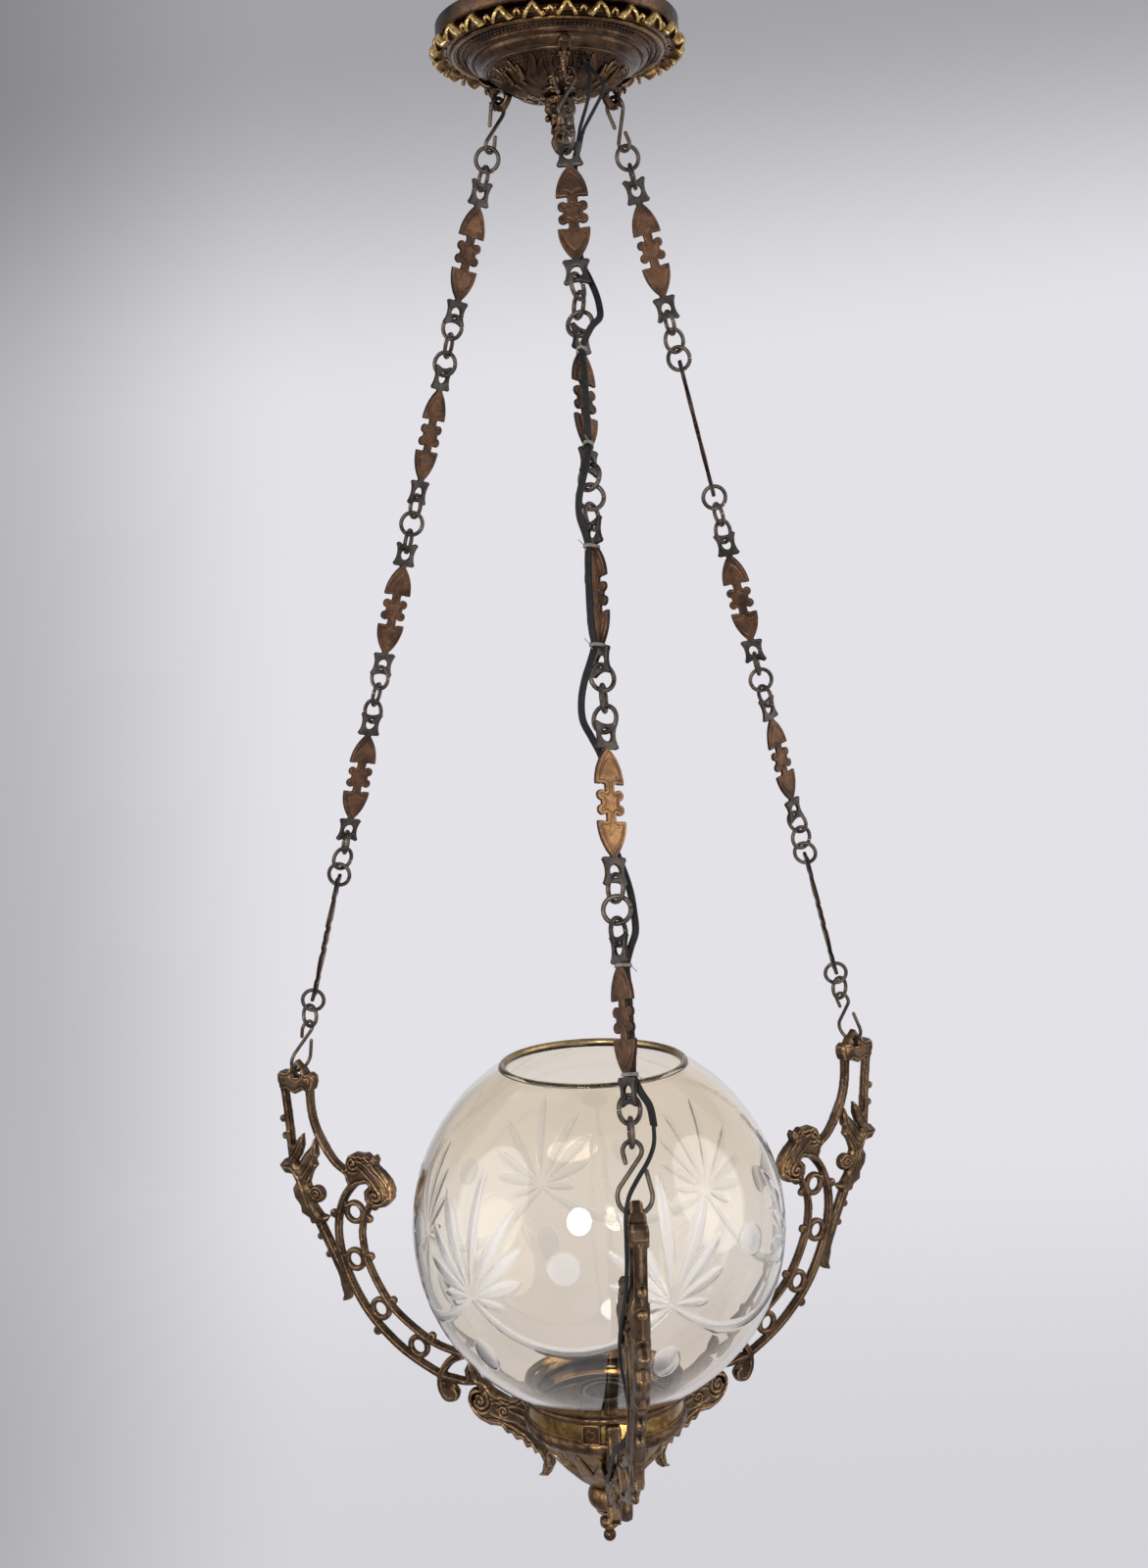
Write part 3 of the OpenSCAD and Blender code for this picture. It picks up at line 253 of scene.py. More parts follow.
BROWN_ROLL = metal("brown_roll", (0.046, 0.026, 0.015), (0.125, 0.071, 0.038), (0.38, 0.24, 0.11), (0.28, 0.45))
RIM_GOLD = metal("rim_gold", (0.16, 0.11, 0.055), (0.36, 0.26, 0.13), (0.6, 0.45, 0.24), (0.25, 0.4), bump=0.1)
STEEL = metal("plain_steel", (0.14, 0.135, 0.13), (0.28, 0.27, 0.255), (0.5, 0.48, 0.45), (0.34, 0.5))
HOLDER = metal("holder_dark", (0.030, 0.026, 0.022), (0.075, 0.062, 0.048), (0.3, 0.22, 0.12), (0.3, 0.45))


def dull_material(name, colours, scale, rough, bump, specular=0.5):
    """Rubber, thread or glazed ware: two mottled tones with a fine surface."""
    m, nt, bsdf = new_material(name)
    tc = nt.nodes.new("ShaderNodeTexCoord").outputs["Object"]
    n = noise(nt, tc, scale, 5.0, 0.6)
    nt.links.new(mix_colour(nt, ramp(nt, n, 0.32, 0.7), *colours), bsdf.inputs["Base Color"])
    nt.links.new(ramp(nt, n, 0.3, 0.7, *rough), bsdf.inputs["Roughness"])
    bsdf.inputs["Specular IOR Level"].default_value = specular
    add_bump(nt, bsdf, noise(nt, tc, 1600.0, 4.0, 0.7), bump, 0.0003)
    return m


FLEX = dull_material("flex_black", ((0.005, 0.005, 0.006), (0.014, 0.013, 0.013)), 260.0, (0.5, 0.7), 0.2, 0.2)
THREAD = dull_material("string", ((0.10, 0.09, 0.075), (0.26, 0.235, 0.2)), 1600.0, (0.8, 0.9), 0.6)
PORCELAIN = dull_material("porcelain", ((0.78, 0.74, 0.66), (0.58, 0.53, 0.44)), 90.0, (0.18, 0.3), 0.05)
INSERT = dull_material("insert_dark", ((0.05, 0.045, 0.04), (0.10, 0.09, 0.08)), 90.0, (0.2, 0.35), 0.05)


def glass_material():
    """Clear glass under an amber lustre that deepens towards the mouth and is gone where the pattern is cut."""
    m, nt, bsdf = new_material("cut_glass")
    tc = nt.nodes.new("ShaderNodeTexCoord").outputs["Object"]
    n = noise(nt, tc, 9.0, 4.0, 0.6)
    cut = attribute(nt, "cut")
    rim = attribute(nt, "rim")
    sep = nt.nodes.new("ShaderNodeSeparateXYZ")
    nt.links.new(tc, sep.inputs[0])
    height = math_node(nt, "ADD", sep.outputs["Z"], math_node(nt, "MULTIPLY", n, 0.09))
    lustre = mix_colour(nt, ramp(nt, height, (GLOBE_Z + 10) / 1000, (MOUTH_Z + 30) / 1000),
                        (0.982, 0.950, 0.88), (0.94, 0.868, 0.745))
    lustre = mix_colour(nt, ramp(nt, height, (GLOBE_Z + 40) / 1000, (LIP_Z + 60) / 1000), lustre,
                        (0.925, 0.865, 0.775))
    tint = mix_colour(nt, cut, lustre, (0.985, 0.98, 0.975))
    tint = mix_colour(nt, rim, tint, (0.70, 0.55, 0.32))
    nt.links.new(tint, bsdf.inputs["Base Color"])
    nt.links.new(ramp(nt, cut, 0.0, 1.0, 0.012, 0.30), bsdf.inputs["Roughness"])
    nt.links.new(ramp(nt, cut, 0.0, 1.0, 1.0, 0.87), bsdf.inputs["Transmission Weight"])
    bsdf.inputs["IOR"].default_value = 1.47
    add_bump(nt, bsdf, noise(nt, tc, 30.0, 2.0), 0.06, 0.0006)
    return m


GLASS = glass_material()


# Mesh tools

def make_object(name, verts, faces, material, body, attributes=None):
    """A smooth mesh object from points in millimetres, with its faces turned outwards."""
    me = bpy.data.meshes.new(name)
    v = np.asarray(verts, float) / 1000.0
    me.from_pydata(v.tolist(), [], [list(f) for f in faces])
    me.validate()
    bm = bmesh.new()
    bm.from_mesh(me)
    bmesh.ops.recalc_face_normals(bm, faces=bm.faces)
    bm.to_mesh(me)
    bm.free()
    me.polygons.foreach_set("use_smooth", [True] * len(me.polygons))
    for key, values in (attributes or {}).items():
        a = me.attributes.new(key, "FLOAT", "POINT")
        a.data.foreach_set("value", np.asarray(values, np.float32))
    ob = bpy.data.objects.new(name, me)
    bpy.context.scene.collection.objects.link(ob)
    me.materials.append(material)
    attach(ob, body)
    return ob


def coords(me):
    co = np.zeros(len(me.vertices) * 3)
    me.vertices.foreach_get("co", co)
    return co.reshape(-1, 3)


def edges_of(me):
    e = np.zeros(len(me.edges) * 2, np.int64)
    me.edges.foreach_get("vertices", e)
    return e.reshape(-1, 2)


def neighbour_mean(x, e):
    n = len(x)
    count = np.bincount(e.ravel(), minlength=n).astype(float)
    out = np.zeros_like(x)
    for k in range(x.shape[1]):
        out[:, k] = np.bincount(e[:, 0], x[e[:, 1], k], n) + np.bincount(e[:, 1], x[e[:, 0], k], n)
    return out / np.maximum(count, 1)[:, None]


def relax(x, e, rounds, keep=True):
    for _ in range(rounds):
        x = x + 0.5 * (neighbour_mean(x, e) - x)
        if keep:
            x = x - 0.52 * (neighbour_mean(x, e) - x)
    return x


def normals_of(me):
    n = np.zeros(len(me.vertices) * 3)
    me.vertex_normals.foreach_get("vector", n)
    return n.reshape(-1, 3)


def set_coords(me, co):
    me.vertices.foreach_set("co", co.ravel())
    me.update()


def set_attribute(me, name, values):
    a = me.attributes.get(name) or me.attributes.new(name, "FLOAT", "POINT")
    a.data.foreach_set("value", np.clip(values, -1, 1).astype(np.float32))


def curvature(me, scale_mm, rounds):
    """How far each point stands out from the points round it, from hollow (-1) to ridge (1)."""
    co, e = coords(me) * 1000.0, edges_of(me)
    far = relax(co, e, rounds, False)
    out = ((co - far) * normals_of(me)).sum(1)[:, None] / scale_mm
    return relax(out, e, 1, False)[:, 0]


def remeshed(node, voxel, name):
    """A copy of a CAD node's mesh, remeshed with even small faces."""
    me = NODES[node].data.copy()
    ob = bpy.data.objects.new(name, me)
    bpy.context.scene.collection.objects.link(ob)
    bm = bmesh.new()
    bm.from_mesh(me)
    bmesh.ops.remove_doubles(bm, verts=bm.verts, dist=2e-6)
    bm.to_mesh(me)
    bm.free()
    mod = ob.modifiers.new("remesh", "REMESH")
    mod.mode = "VOXEL"
    mod.voxel_size = voxel / 1000.0
    mod.use_smooth_shade = True
    new = bpy.data.meshes.new_from_object(ob.evaluated_get(bpy.context.evaluated_depsgraph_get()))
    ob.modifiers.clear()
    ob.data = new
    bpy.data.meshes.remove(me)
    new.name = name
    return ob


def wall_distance(co, normals, across, axis, inner):
    """Distance in a plate's own plane from each point to the plate's outline, which is found on the points of
    its side walls. across is each point's place in the thickness, and inner how far from the middle the
    side walls are looked for."""
    flat = co - across[:, None] * axis[None, :]
    wall = np.nonzero((np.abs(normals @ axis) < 0.45) & (np.abs(across) < inner))[0]
    tree = KDTree(len(wall))
    for i in wall:
        tree.insert(Vector(flat[i]), int(i))
    tree.balance()
    return np.array([tree.find(Vector(p))[2] for p in flat])


def cast(node, voxel, name, material, rounds=2, plate=None, shape=None, grow=0.0, wear=(0.12, 4)):
    """A softened casting that stands for a CAD node: the node's form, remeshed and smoothed. plate is the
    node's flat axis, a point on its middle plane and the half thickness to look for walls in. shape
    then gives each point's rise on the faces, and more values for the attributes."""
    ob = remeshed(node, voxel, name)
    me = ob.data
    e = edges_of(me)
    co = relax(coords(me), e, rounds) * 1000.0
    set_coords(me, co / 1000.0)
    n = normals_of(me)
    extra = {}
    if plate is not None:
        axis, middle, inner = plate
        across = (co - middle) @ axis
        d = wall_distance(co, n, across, axis, inner)
        rise, extra = shape(co, n, across, d)
        co = co + n * grow + (np.sign(across) * rise * clamp01(np.abs(across) / 1.2))[:, None] * axis[None, :]
        set_coords(me, co / 1000.0)
    me.polygons.foreach_set("use_smooth", [True] * len(me.polygons))
    set_attribute(me, "wear", curvature(me, *wear) + extra.pop("wear", 0.0))
    for key, values in extra.items():
        set_attribute(me, key, values)
    me.materials.clear()
    me.materials.append(material)
    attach(ob, BODY[node])
    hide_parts(node)
    return ob


def catmull(points, n):
    p = np.asarray(points, float)
    out = []
    for i in range(len(p) - 1):
        a, b, c, d = p[max(i - 1, 0)], p[i], p[i + 1], p[min(i + 2, len(p) - 1)]
        for j in range(n):
            t = j / n
            out.append(0.5 * (2 * b + (c - a) * t + (2 * a - 5 * b + 4 * c - d) * t * t
                              + (3 * b - a - 3 * c + d) * t ** 3))
    out.append(p[-1])
    return np.array(out)


def spiral(centre, r0, r1, start, turns, n=36):
    """Points of a flat spiral from radius r0 to r1. start and turns are in degrees and whole turns."""
    out = []
    for i in range(n + 1):
        t = i / n
        a = math.radians(start) + 2 * math.pi * turns * t
        r = r0 + (r1 - r0) * t
        out.append((centre[0] + r * math.cos(a), centre[1] + r * math.sin(a)))
    return out


def line_distance(x, y, points):
    """Distance from each point to a line through the given points, in the same flat coordinates."""
    best = np.full(len(x), 1e9)
    for (ax, ay), (bx, by) in zip(points, points[1:]):
        dx, dy = bx - ax, by - ay
        t = clamp01(((x - ax) * dx + (y - ay) * dy) / max(dx * dx + dy * dy, 1e-9))
        best = np.minimum(best, np.hypot(x - ax - t * dx, y - ay - t * dy))
    return best


def sweep(path, section, side=None, closed_ends=True, scale=None):
    """Points and faces of a section, as flat points, swept along a path. side gives the section's x axis."""
    path = np.asarray(path, float)
    t = np.gradient(path, axis=0)
    t /= np.linalg.norm(t, axis=1)[:, None]
    m, k = len(path), len(section)
    section = np.asarray(section, float)
    x = np.zeros_like(path)
    if side is None:
        x[0] = np.cross(t[0], [0.3, 0.9, 0.31] if abs(t[0][1]) < 0.8 else [1, 0.1, 0])
        x[0] /= np.linalg.norm(x[0])
        for i in range(1, m):
            v = x[i - 1] - t[i] * (x[i - 1] @ t[i])
            x[i] = v / np.linalg.norm(v)
    else:
        for i in range(m):
            v = np.cross(t[i], np.asarray(side, float))
            x[i] = v / np.linalg.norm(v)
    y = np.cross(t, x)
    s = np.ones(m) if scale is None else np.asarray(scale, float)
    verts = (path[:, None, :] + (s[:, None, None] * section[None, :, 0:1]) * x[:, None, :]
             + (s[:, None, None] * section[None, :, 1:2]) * y[:, None, :]).reshape(-1, 3)
    faces = []
    for i in range(m - 1):
        for j in range(k):
            a, b = i * k + j, i * k + (j + 1) % k
            faces.append((a, b, b + k, a + k))
    if closed_ends:
        faces.append(tuple(range(k - 1, -1, -1)))
        faces.append(tuple((m - 1) * k + j for j in range(k)))
    return verts, faces


def round_section(r, n=12):
    return [(r * math.cos(2 * math.pi * j / n), r * math.sin(2 * math.pi * j / n)) for j in range(n)]


def twin_section(r, n=9):
    """Two round cores side by side with a web between them, as flat twin flex has."""
    right = [math.radians(-125 + 250 * j / (n - 1)) for j in range(n)]
    pts = [(r + r * math.cos(a), r * math.sin(a)) for a in right]
    return pts + [(-x, -y) for x, y in pts]


def rounded(points, radius, steps=3):
    """A closed outline with each of its corners turned into a small curve."""
    p = [np.asarray(q, float) for q in points]
    out = []
    for i, b in enumerate(p):
        a, c = p[i - 1], p[(i + 1) % len(p)]
        la, lc = np.linalg.norm(a - b), np.linalg.norm(c - b)
        start = b + (a - b) * min(radius / la, 0.45)
        end = b + (c - b) * min(radius / lc, 0.45)
        for k in range(steps + 1):
            t = k / steps
            out.append((1 - t) ** 2 * start + 2 * t * (1 - t) * b + t * t * end)
    return out


def lathe(outline, around=144, wave=None):
    """Points and faces of a closed outline of (radius, height) turned round Z. wave gives a change of radius
    and height for an angle in degrees and a point of the outline."""
    k = len(outline)
    verts, faces = [], []
    for j in range(around):
        a = 2 * math.pi * j / around
        for r, z in outline:
            dr, dz = wave(math.degrees(a), r, z) if wave else (0.0, 0.0)
            verts.append(((r + dr) * math.cos(a), (r + dr) * math.sin(a), z + dz))
    for j in range(around):
        n = (j + 1) % around
        for i in range(k):
            m = (i + 1) % k
            faces.append((j * k + i, n * k + i, n * k + m, j * k + m))
    return verts, faces


def circle_points(centre, rx, rz, n=16):
    return [(centre[0] + rx * math.cos(2 * math.pi * i / n), centre[1] + rz * math.sin(2 * math.pi * i / n))
            for i in range(n)]


def sheet(grid, thick):
    """A closed thin shell round a grid of points, with its thickness set half on each side."""
    g = np.asarray(grid, float)
    m, k = g.shape[:2]
    du = np.gradient(g, axis=0)
    dv = np.gradient(g, axis=1)
    n = np.cross(du, dv)
    n /= np.maximum(np.linalg.norm(n, axis=2), 1e-9)[:, :, None]
    verts = np.concatenate([(g + n * thick / 2).reshape(-1, 3), (g - n * thick / 2).reshape(-1, 3)])
    half = m * k
    faces = []
    for i in range(m - 1):
        for j in range(k - 1):
            a = i * k + j
            faces.append((a, a + 1, a + k + 1, a + k))
            faces.append((half + a, half + a + k, half + a + k + 1, half + a + 1))
    border = [i * k for i in range(m)] + [(m - 1) * k + j for j in range(1, k)]
    border += [i * k + k - 1 for i in range(m - 2, -1, -1)] + [j for j in range(k - 2, 0, -1)]
    for a, b in zip(border, border[1:] + border[:1]):
        faces.append((a, b, half + b, half + a))
    return verts, faces


class Soup:
    """Collects points, faces and wear values of many small forms for one object. A low wear value darkens, and inside
    the bowl it is painted shade.
    """

    def __init__(self):
        self.v, self.f, self.w = [], [], []

    def add(self, form, wear=0.0):
        verts, faces = form
        base = len(self.v)
        self.v.extend(np.asarray(verts, float).tolist())
        self.f.extend([tuple(i + base for i in f) for f in faces])
        self.w.extend([wear] * len(verts) if np.isscalar(wear) else list(wear))

    def ball(self, centre, r, rings=6, around=10, wear=0.0, flat=1.0, axis=(0, 0, 1)):
        c = np.asarray(centre, float)
        z = np.asarray(axis, float) / np.linalg.norm(axis)
        x = np.cross(z, [1, 0, 0] if abs(z[0]) < 0.8 else [0, 1, 0])
        x /= np.linalg.norm(x)
        y = np.cross(z, x)
        verts, faces = [c + z * r * flat], []
        for i in range(1, rings):
            a = math.pi * i / rings
            for j in range(around):
                b = 2 * math.pi * j / around
                verts.append(c + r * (math.sin(a) * (math.cos(b) * x + math.sin(b) * y) + flat * math.cos(a) * z))
        verts.append(c - z * r * flat)
        last = len(verts) - 1
        low = 1 + (rings - 2) * around
        for j in range(around):
            n = (j + 1) % around
            faces.append((0, 1 + j, 1 + n))
            faces.append((last, low + n, low + j))
            for i in range(rings - 2):
                a0, a1 = 1 + i * around + j, 1 + i * around + n
                faces.append((a0, a0 + around, a1 + around, a1))
        self.add((verts, faces), wear)

    def done(self, name, material, body, slot, *nodes):
        ob = make_object(name, self.v, self.f, material, body, attributes={"wear": self.w})
        if nodes:
            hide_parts(*nodes)
        return ob


def ring_matrix(name, s, turn):
    """Axes and centre of a piece at distance s down a chain, whose normal is turned by turn."""
    d = math.radians(DIRS[name])
    rz = np.array([[math.cos(d), -math.sin(d), 0], [math.sin(d), math.cos(d), 0], [0, 0, 1]])
    t = -TILT
    ry = np.array([[math.cos(t), 0, math.sin(t)], [0, 1, 0], [-math.sin(t), 0, math.cos(t)]])
    a = math.radians(turn - 90 - DIRS[name])
    ra = np.array([[math.cos(a), -math.sin(a), 0], [math.sin(a), math.cos(a), 0], [0, 0, 1]])
    centre = rz @ (np.array([LUG_R, 0, LUG_Z]) + ry @ np.array([0, 0, -s]))
    return rz @ ry @ ra, centre


def chain_point(p):
    return [
        p[1],
        -LUG_R - p[0] * math.sin(TILT) - p[2] * math.cos(TILT),
        LUG_Z - p[0] * math.cos(TILT) + p[2] * math.sin(TILT),
    ]


# Camera, light and ground

def set_stage():
    scene = bpy.context.scene
    scene.view_settings.view_transform = "Standard"
    cam_data = bpy.data.cameras.new("camera")
    cam = bpy.data.objects.new("camera", cam_data)
    scene.collection.objects.link(cam)
    scene.camera = cam
    cam_data.sensor_width = 36.0
    cam_data.sensor_fit = "AUTO"
    cam_data.lens = 39.403
    cam_data.clip_start, cam_data.clip_end = 0.01, 50.0
    yaw, pitch, roll = map(math.radians, (4.5455, -4.9473, -2.0565))
    fwd0 = Vector((math.sin(yaw), math.cos(yaw), 0))
    right0 = Vector((math.cos(yaw), -math.sin(yaw), 0))
    up0 = Vector((0, 0, 1))
    fwd = math.cos(pitch) * fwd0 + math.sin(pitch) * up0
    up = -math.sin(pitch) * fwd0 + math.cos(pitch) * up0
    right = math.cos(roll) * right0 + math.sin(roll) * up
    up = -math.sin(roll) * right0 + math.cos(roll) * up
    m = Matrix((right, up, -fwd)).transposed().to_4x4()
    m.translation = Vector((-0.0953, -1.1218, -0.38595))
    cam.matrix_world = m

    world = bpy.data.worlds.new("world")
    scene.world = world
    world.use_nodes = True
    background = world.node_tree.nodes["Background"]
    background.inputs["Color"].default_value = (0.80, 0.79, 0.83, 1)
    background.inputs["Strength"].default_value = 0.8

    paper, nt, bsdf = new_material("paper")
    bsdf.inputs["Base Color"].default_value = (0.70, 0.69, 0.72, 1)
    bsdf.inputs["Roughness"].default_value = 0.9
    bsdf.inputs["Specular IOR Level"].default_value = 0.1
    sep = nt.nodes.new("ShaderNodeSeparateXYZ")
    nt.links.new(nt.nodes.new("ShaderNodeTexCoord").outputs["Object"], sep.inputs[0])
    # Painted light falloff in the backdrop's emission: dimmer towards the top, towards the left and down by the floor.
    tilted = math_node(nt, "SUBTRACT", sep.outputs["Z"], math_node(nt, "MULTIPLY", sep.outputs["X"], 0.1))
    top = ramp(nt, tilted, 0.05, 0.72, 1.0, 0.42)
    side = ramp(nt, sep.outputs["X"], -0.95, -0.3, 0.56, 1.0)
    foot = ramp(nt, sep.outputs["Z"], -1.76, -1.35, 0.85, 1.0)
    painted_falloff = math_node(nt, "MULTIPLY", math_node(nt, "MULTIPLY", top, side), foot)
    path = nt.nodes.new("ShaderNodeLightPath")
    seen = math_node(nt, "MAXIMUM", path.outputs["Is Camera Ray"], path.outputs["Is Glossy Ray"])
    seen = math_node(nt, "MAXIMUM", seen, path.outputs["Is Transmission Ray"])
    em = nt.nodes.new("ShaderNodeEmission")
    em.inputs["Color"].default_value = (0.775, 0.765, 0.805, 1)
    nt.links.new(painted_falloff, em.inputs["Strength"])
    mix = nt.nodes.new("ShaderNodeMixShader")
    nt.links.new(math_node(nt, "MULTIPLY", seen, 0.9), mix.inputs[0])
    out = [n for n in nt.nodes if n.type == "OUTPUT_MATERIAL"][0]
    nt.links.new(bsdf.outputs[0], mix.inputs[1])
    nt.links.new(em.outputs[0], mix.inputs[2])
    nt.links.new(mix.outputs[0], out.inputs[0])

    floor_z, wall_y, cove = -1.75, 1.2, 0.9
    profile = [(-3.2, floor_z), (wall_y, floor_z)]
    for i in range(1, 13):
        a = math.pi / 2 * i / 12
        profile.append((wall_y + cove * math.sin(a), floor_z + cove * (1 - math.cos(a))))
    profile.append((wall_y + cove, 2.2))
    verts = [(x, y, z) for x in (-4.0, 4.0) for y, z in profile]
    n = len(profile)
    me = bpy.data.meshes.new("ground")
    me.from_pydata(verts, [], [(i, i + 1, n + i + 1, n + i) for i in range(n - 1)])
    me.polygons.foreach_set("use_smooth", [True] * len(me.polygons))
    ground = bpy.data.objects.new("ground", me)
    scene.collection.objects.link(ground)
    me.materials.append(paper)

    def lamp(name, place, aim, size, power, colour):
        data = bpy.data.lights.new(name, "AREA")
        data.shape = "ELLIPSE"
        data.size, data.size_y = size
        data.energy = power
        data.color = colour
        ob = bpy.data.objects.new(name, data)
        scene.collection.objects.link(ob)
        ob.location = place
        ob.rotation_mode = "QUATERNION"
        ob.rotation_quaternion = (Vector(aim) - Vector(place)).to_track_quat("-Z", "Y")

    lamp("key", (-0.60, -2.0, -0.08), (0, 0, -0.6), (0.54, 0.6), 24, (1.0, 0.985, 0.96))
    lamp("left", (-2.7, -0.6, 0.1), (0, 0, -0.55), (2.6, 3.2), 34, (0.97, 0.98, 1.0))
    lamp("right", (2.7, -0.8, 0.1), (0, 0, -0.55), (2.6, 3.2), 37, (1.0, 0.99, 0.97))
    lamp("low", (0.3, -1.3, -1.6), (0, 0, -0.8), (0.9, 0.5), 6, (1.0, 1.0, 1.0))


set_stage()


# Flex

ENTRY = [
    (24, -7.4, -8), (22, -14, -9.6), (19, -22, -13.4), (15.6, -28.6, -19.6), (13.2, -32.4, -25),
    (12.2, -34.5, -29.4), (12.9, -36.8, -33.2),
]
STRAND_A = [
    (-2.4, 12.4, -1.4), (3, 13.6, 0.4), (8, 15, 2), (14, 15.2, 3), (21, 14.2, 2.6), (28, 12.4, 0),
    (34, 10, -5), (38.6, 8.3, -8.4), (41.2, 8.0, -9.1),
]
STRAND_B = [
    (-2.4, 15, -1.4), (3, 16.6, 0), (8, 19.4, 1.6), (12, 22.2, 2.6), (16.4, 23.2, 3), (23, 21.6, 3),
    (30, 17.4, 0.4), (35, 13.6, -4.4), (38.6, 10.8, -8.4), (41.2, 10.1, -9.1),
]
CHAIN_ROUTE = [
    (40.2, 9, -8.8), (49, 7, -10.4), (58, 4.6, -8.6), (68, 3, -6), (84, 2, -5), (110, 2, -5),
    (128, 4, -7), (138, 8, -8), (150, 11, -4), (162, 12, 2), (172, 11, 8), (180, 5, 11.5),
    (190.4, -0.4, 5.6), (202, 0, 6.4), (220, 0, 7), (239, 0, 6.4), (249.5, 0, 5.6), (262, -2, 10),
    (273, -5, 12.5), (285, -8, 11.5), (295, -8, 8.4), (304, -5, 4.6), (310.9, -3.6, 2.5),
    (322, -4.4, 3.4), (346, -5, 4), (361, -4.6, 3.2), (369.9, -3.6, 2.6), (380, -6.6, 6),
    (391, -10.6, 8), (402, -13, 5), (413, -12.6, 1), (422, -8, -3), (432, -3, -6), (446, 0, -6),
    (466, 0, -6), (482, 1, -7), (492, 4, -8.6), (502, 7, -8), (512, 9, -6.6), (522, 9.8, -5),
    (533, 9.8, -2.8), (542, 6.6, -4.6), (551.7, 3.6, -2.4), (562, 3.8, -3), (580, 3.8, -3.4),
    (600, 3.8, -3), (610.5, 3.4, -2.7), (620, 6.8, -2.6), (628, 11, -0.4), (637, 12, 3), (638.5, 12, 3.2),
]
BOTTOM_ROUTE = [
    (12, -227, -648.6), (11.4, -231, -657.6), (7.6, -235.4, -665.4), (1.4, -239.4, -673.4),
    (-4, -242.8, -681.6), (-6.4, -244.8, -691.4), (-6.6, -244.8, -704), (-6.4, -242, -717),
    (-6.2, -235, -730), (-6, -223, -744), (-6, -209, -757.4), (-6, -194, -772), (-6, -182, -787),
    (-5.4, -177.4, -801), (-3.4, -176.6, -814), (-1.6, -175.6, -828), (-1, -171, -841),
    (-2, -163, -852), (-4.4, -153.6, -861), (-6.4, -143, -868.6), (-6.8, -132, -876),
    (-6.8, -121, -884.4), (-6.8, -111, -893.6), (-6.8, -100.6, -903), (-6.8, -90, -911.6),
    (-6.8, -78.6, -919), (-6.8, -66, -925.6), (-6.6, -53, -929.6), (-6, -42, -930.6), (-5.4, -37, -930.8),
]


def build_flex():
    across = (0, 1, 0.001)
    twin = twin_section(1.02)
    entry = Soup()
    entry.add(sweep(catmull(ENTRY, 4), twin, side=across))
    entry.done("flex_inside", FLEX, "rose", "flex_black", "flex_entry")
    top = Soup()
    for strand in (STRAND_A, STRAND_B):
        top.add(sweep(catmull([chain_point(q) for q in strand], 6), round_section(1.1)))
    top.done("flex_loops", FLEX, "front_hook", "flex_black", "flex_top")
    chain = Soup()
    chain.add(sweep(catmull([chain_point(q) for q in CHAIN_ROUTE], 5), twin, side=across))
    chain.done("flex_on_chain", FLEX, "front_chain", "flex_black", "flex_chain")
    low = Soup()
    low.add(sweep(catmull(BOTTOM_ROUTE, 5), [(y, x) for x, y in reversed(twin)], side=across))
    low.done("flex_on_arm", FLEX, "cage", "flex_black", "flex_bottom")


# The string ties, as [link, end, place across the chain, place in front of it].
TIES = [
    (1, 0, -0.4, 5.6), (1, 1, 0, 5.6), (2, 0, -3.6, 2.5), (2, 1, -3.6, 2.6), (4, 0, 3.6, -2.4), (4, 1, 3.4, -2.7),
]


def build_ties():
    soup = Soup()
    rnd = random.Random(5)
    steps, turns = 20, 3
    for link, end, across, out in TIES:
        s = LINK_1_S + link * LINK_PITCH + (9.3 if end == 0 else LINK_LEN - 9.3)
        d = math.hypot(across, out)
        ux, uy = across / d, out / d
        path = []
        for i in range(turns * steps + 1):
            a = 2 * math.pi * i / steps
            r = 3.2 if math.cos(a) < 0 else 2.75
            along = (d if math.cos(a) >= 0 else 0) + r * math.cos(a)
            wide = r * math.sin(a)
            down = s + (i / steps - turns / 2) * 0.62 + rnd.uniform(-0.04, 0.04)
            path.append(chain_point((down, along * ux - wide * uy, along * uy + wide * ux)))
        soup.add(sweep(path, round_section(0.34, 7)))
        soup.ball(chain_point((s, (d + 3.0) * ux, (d + 3.0) * uy)), 0.8, 5, 8)
        for sign in (-1, 1):
            tip = [chain_point((s + k * 1.1 * sign, (d + 3.0 + k * 0.5) * ux + sign * k * 0.7,
                                (d + 3.0 + k * 0.5) * uy)) for k in range(4)]
            soup.add(sweep(tip, round_section(0.26, 6)))
    soup.done("flex_strings", THREAD, "front_chain", "string", "flex_ties")


build_flex()
build_ties()


# Rings, links and hooks

def build_rings(name):
    """Bent wire rings with a closed butt joint, each a little uneven."""
    soup = Soup()
    rnd = random.Random({"front": 11, "left": 23, "right": 37}[name])
    n = 56
    for s, turn in zip(RING_S, RING_TURNS[name]):
        axes, centre = ring_matrix(name, s, turn)
        side, up = axes[:, 1], axes[:, 2]
        joint = math.radians(rnd.choice([-1, 1]) * rnd.uniform(35, 145) + 90)
        path, wear = [], []
        for i in range(n + 1):
            a = joint + math.radians(1.6) + (2 * math.pi - math.radians(3.2)) * i / n
            path.append(centre + RING_R * (math.cos(a) * side + math.sin(a) * up))
            wear += [max(abs(math.sin(a)) - 0.8, 0) * 1.6] * 12
        wave = [1 + 0.025 * math.sin(3.1 * i + turn) * math.sin(0.37 * i) for i in range(n + 1)]
        soup.add(sweep(path, round_section(RING_WIRE / 2 - 0.02, 12), scale=wave), wear)
    soup.done("rings_" + name, IRON, name + "_chain", "wire_iron", name + "_rings")


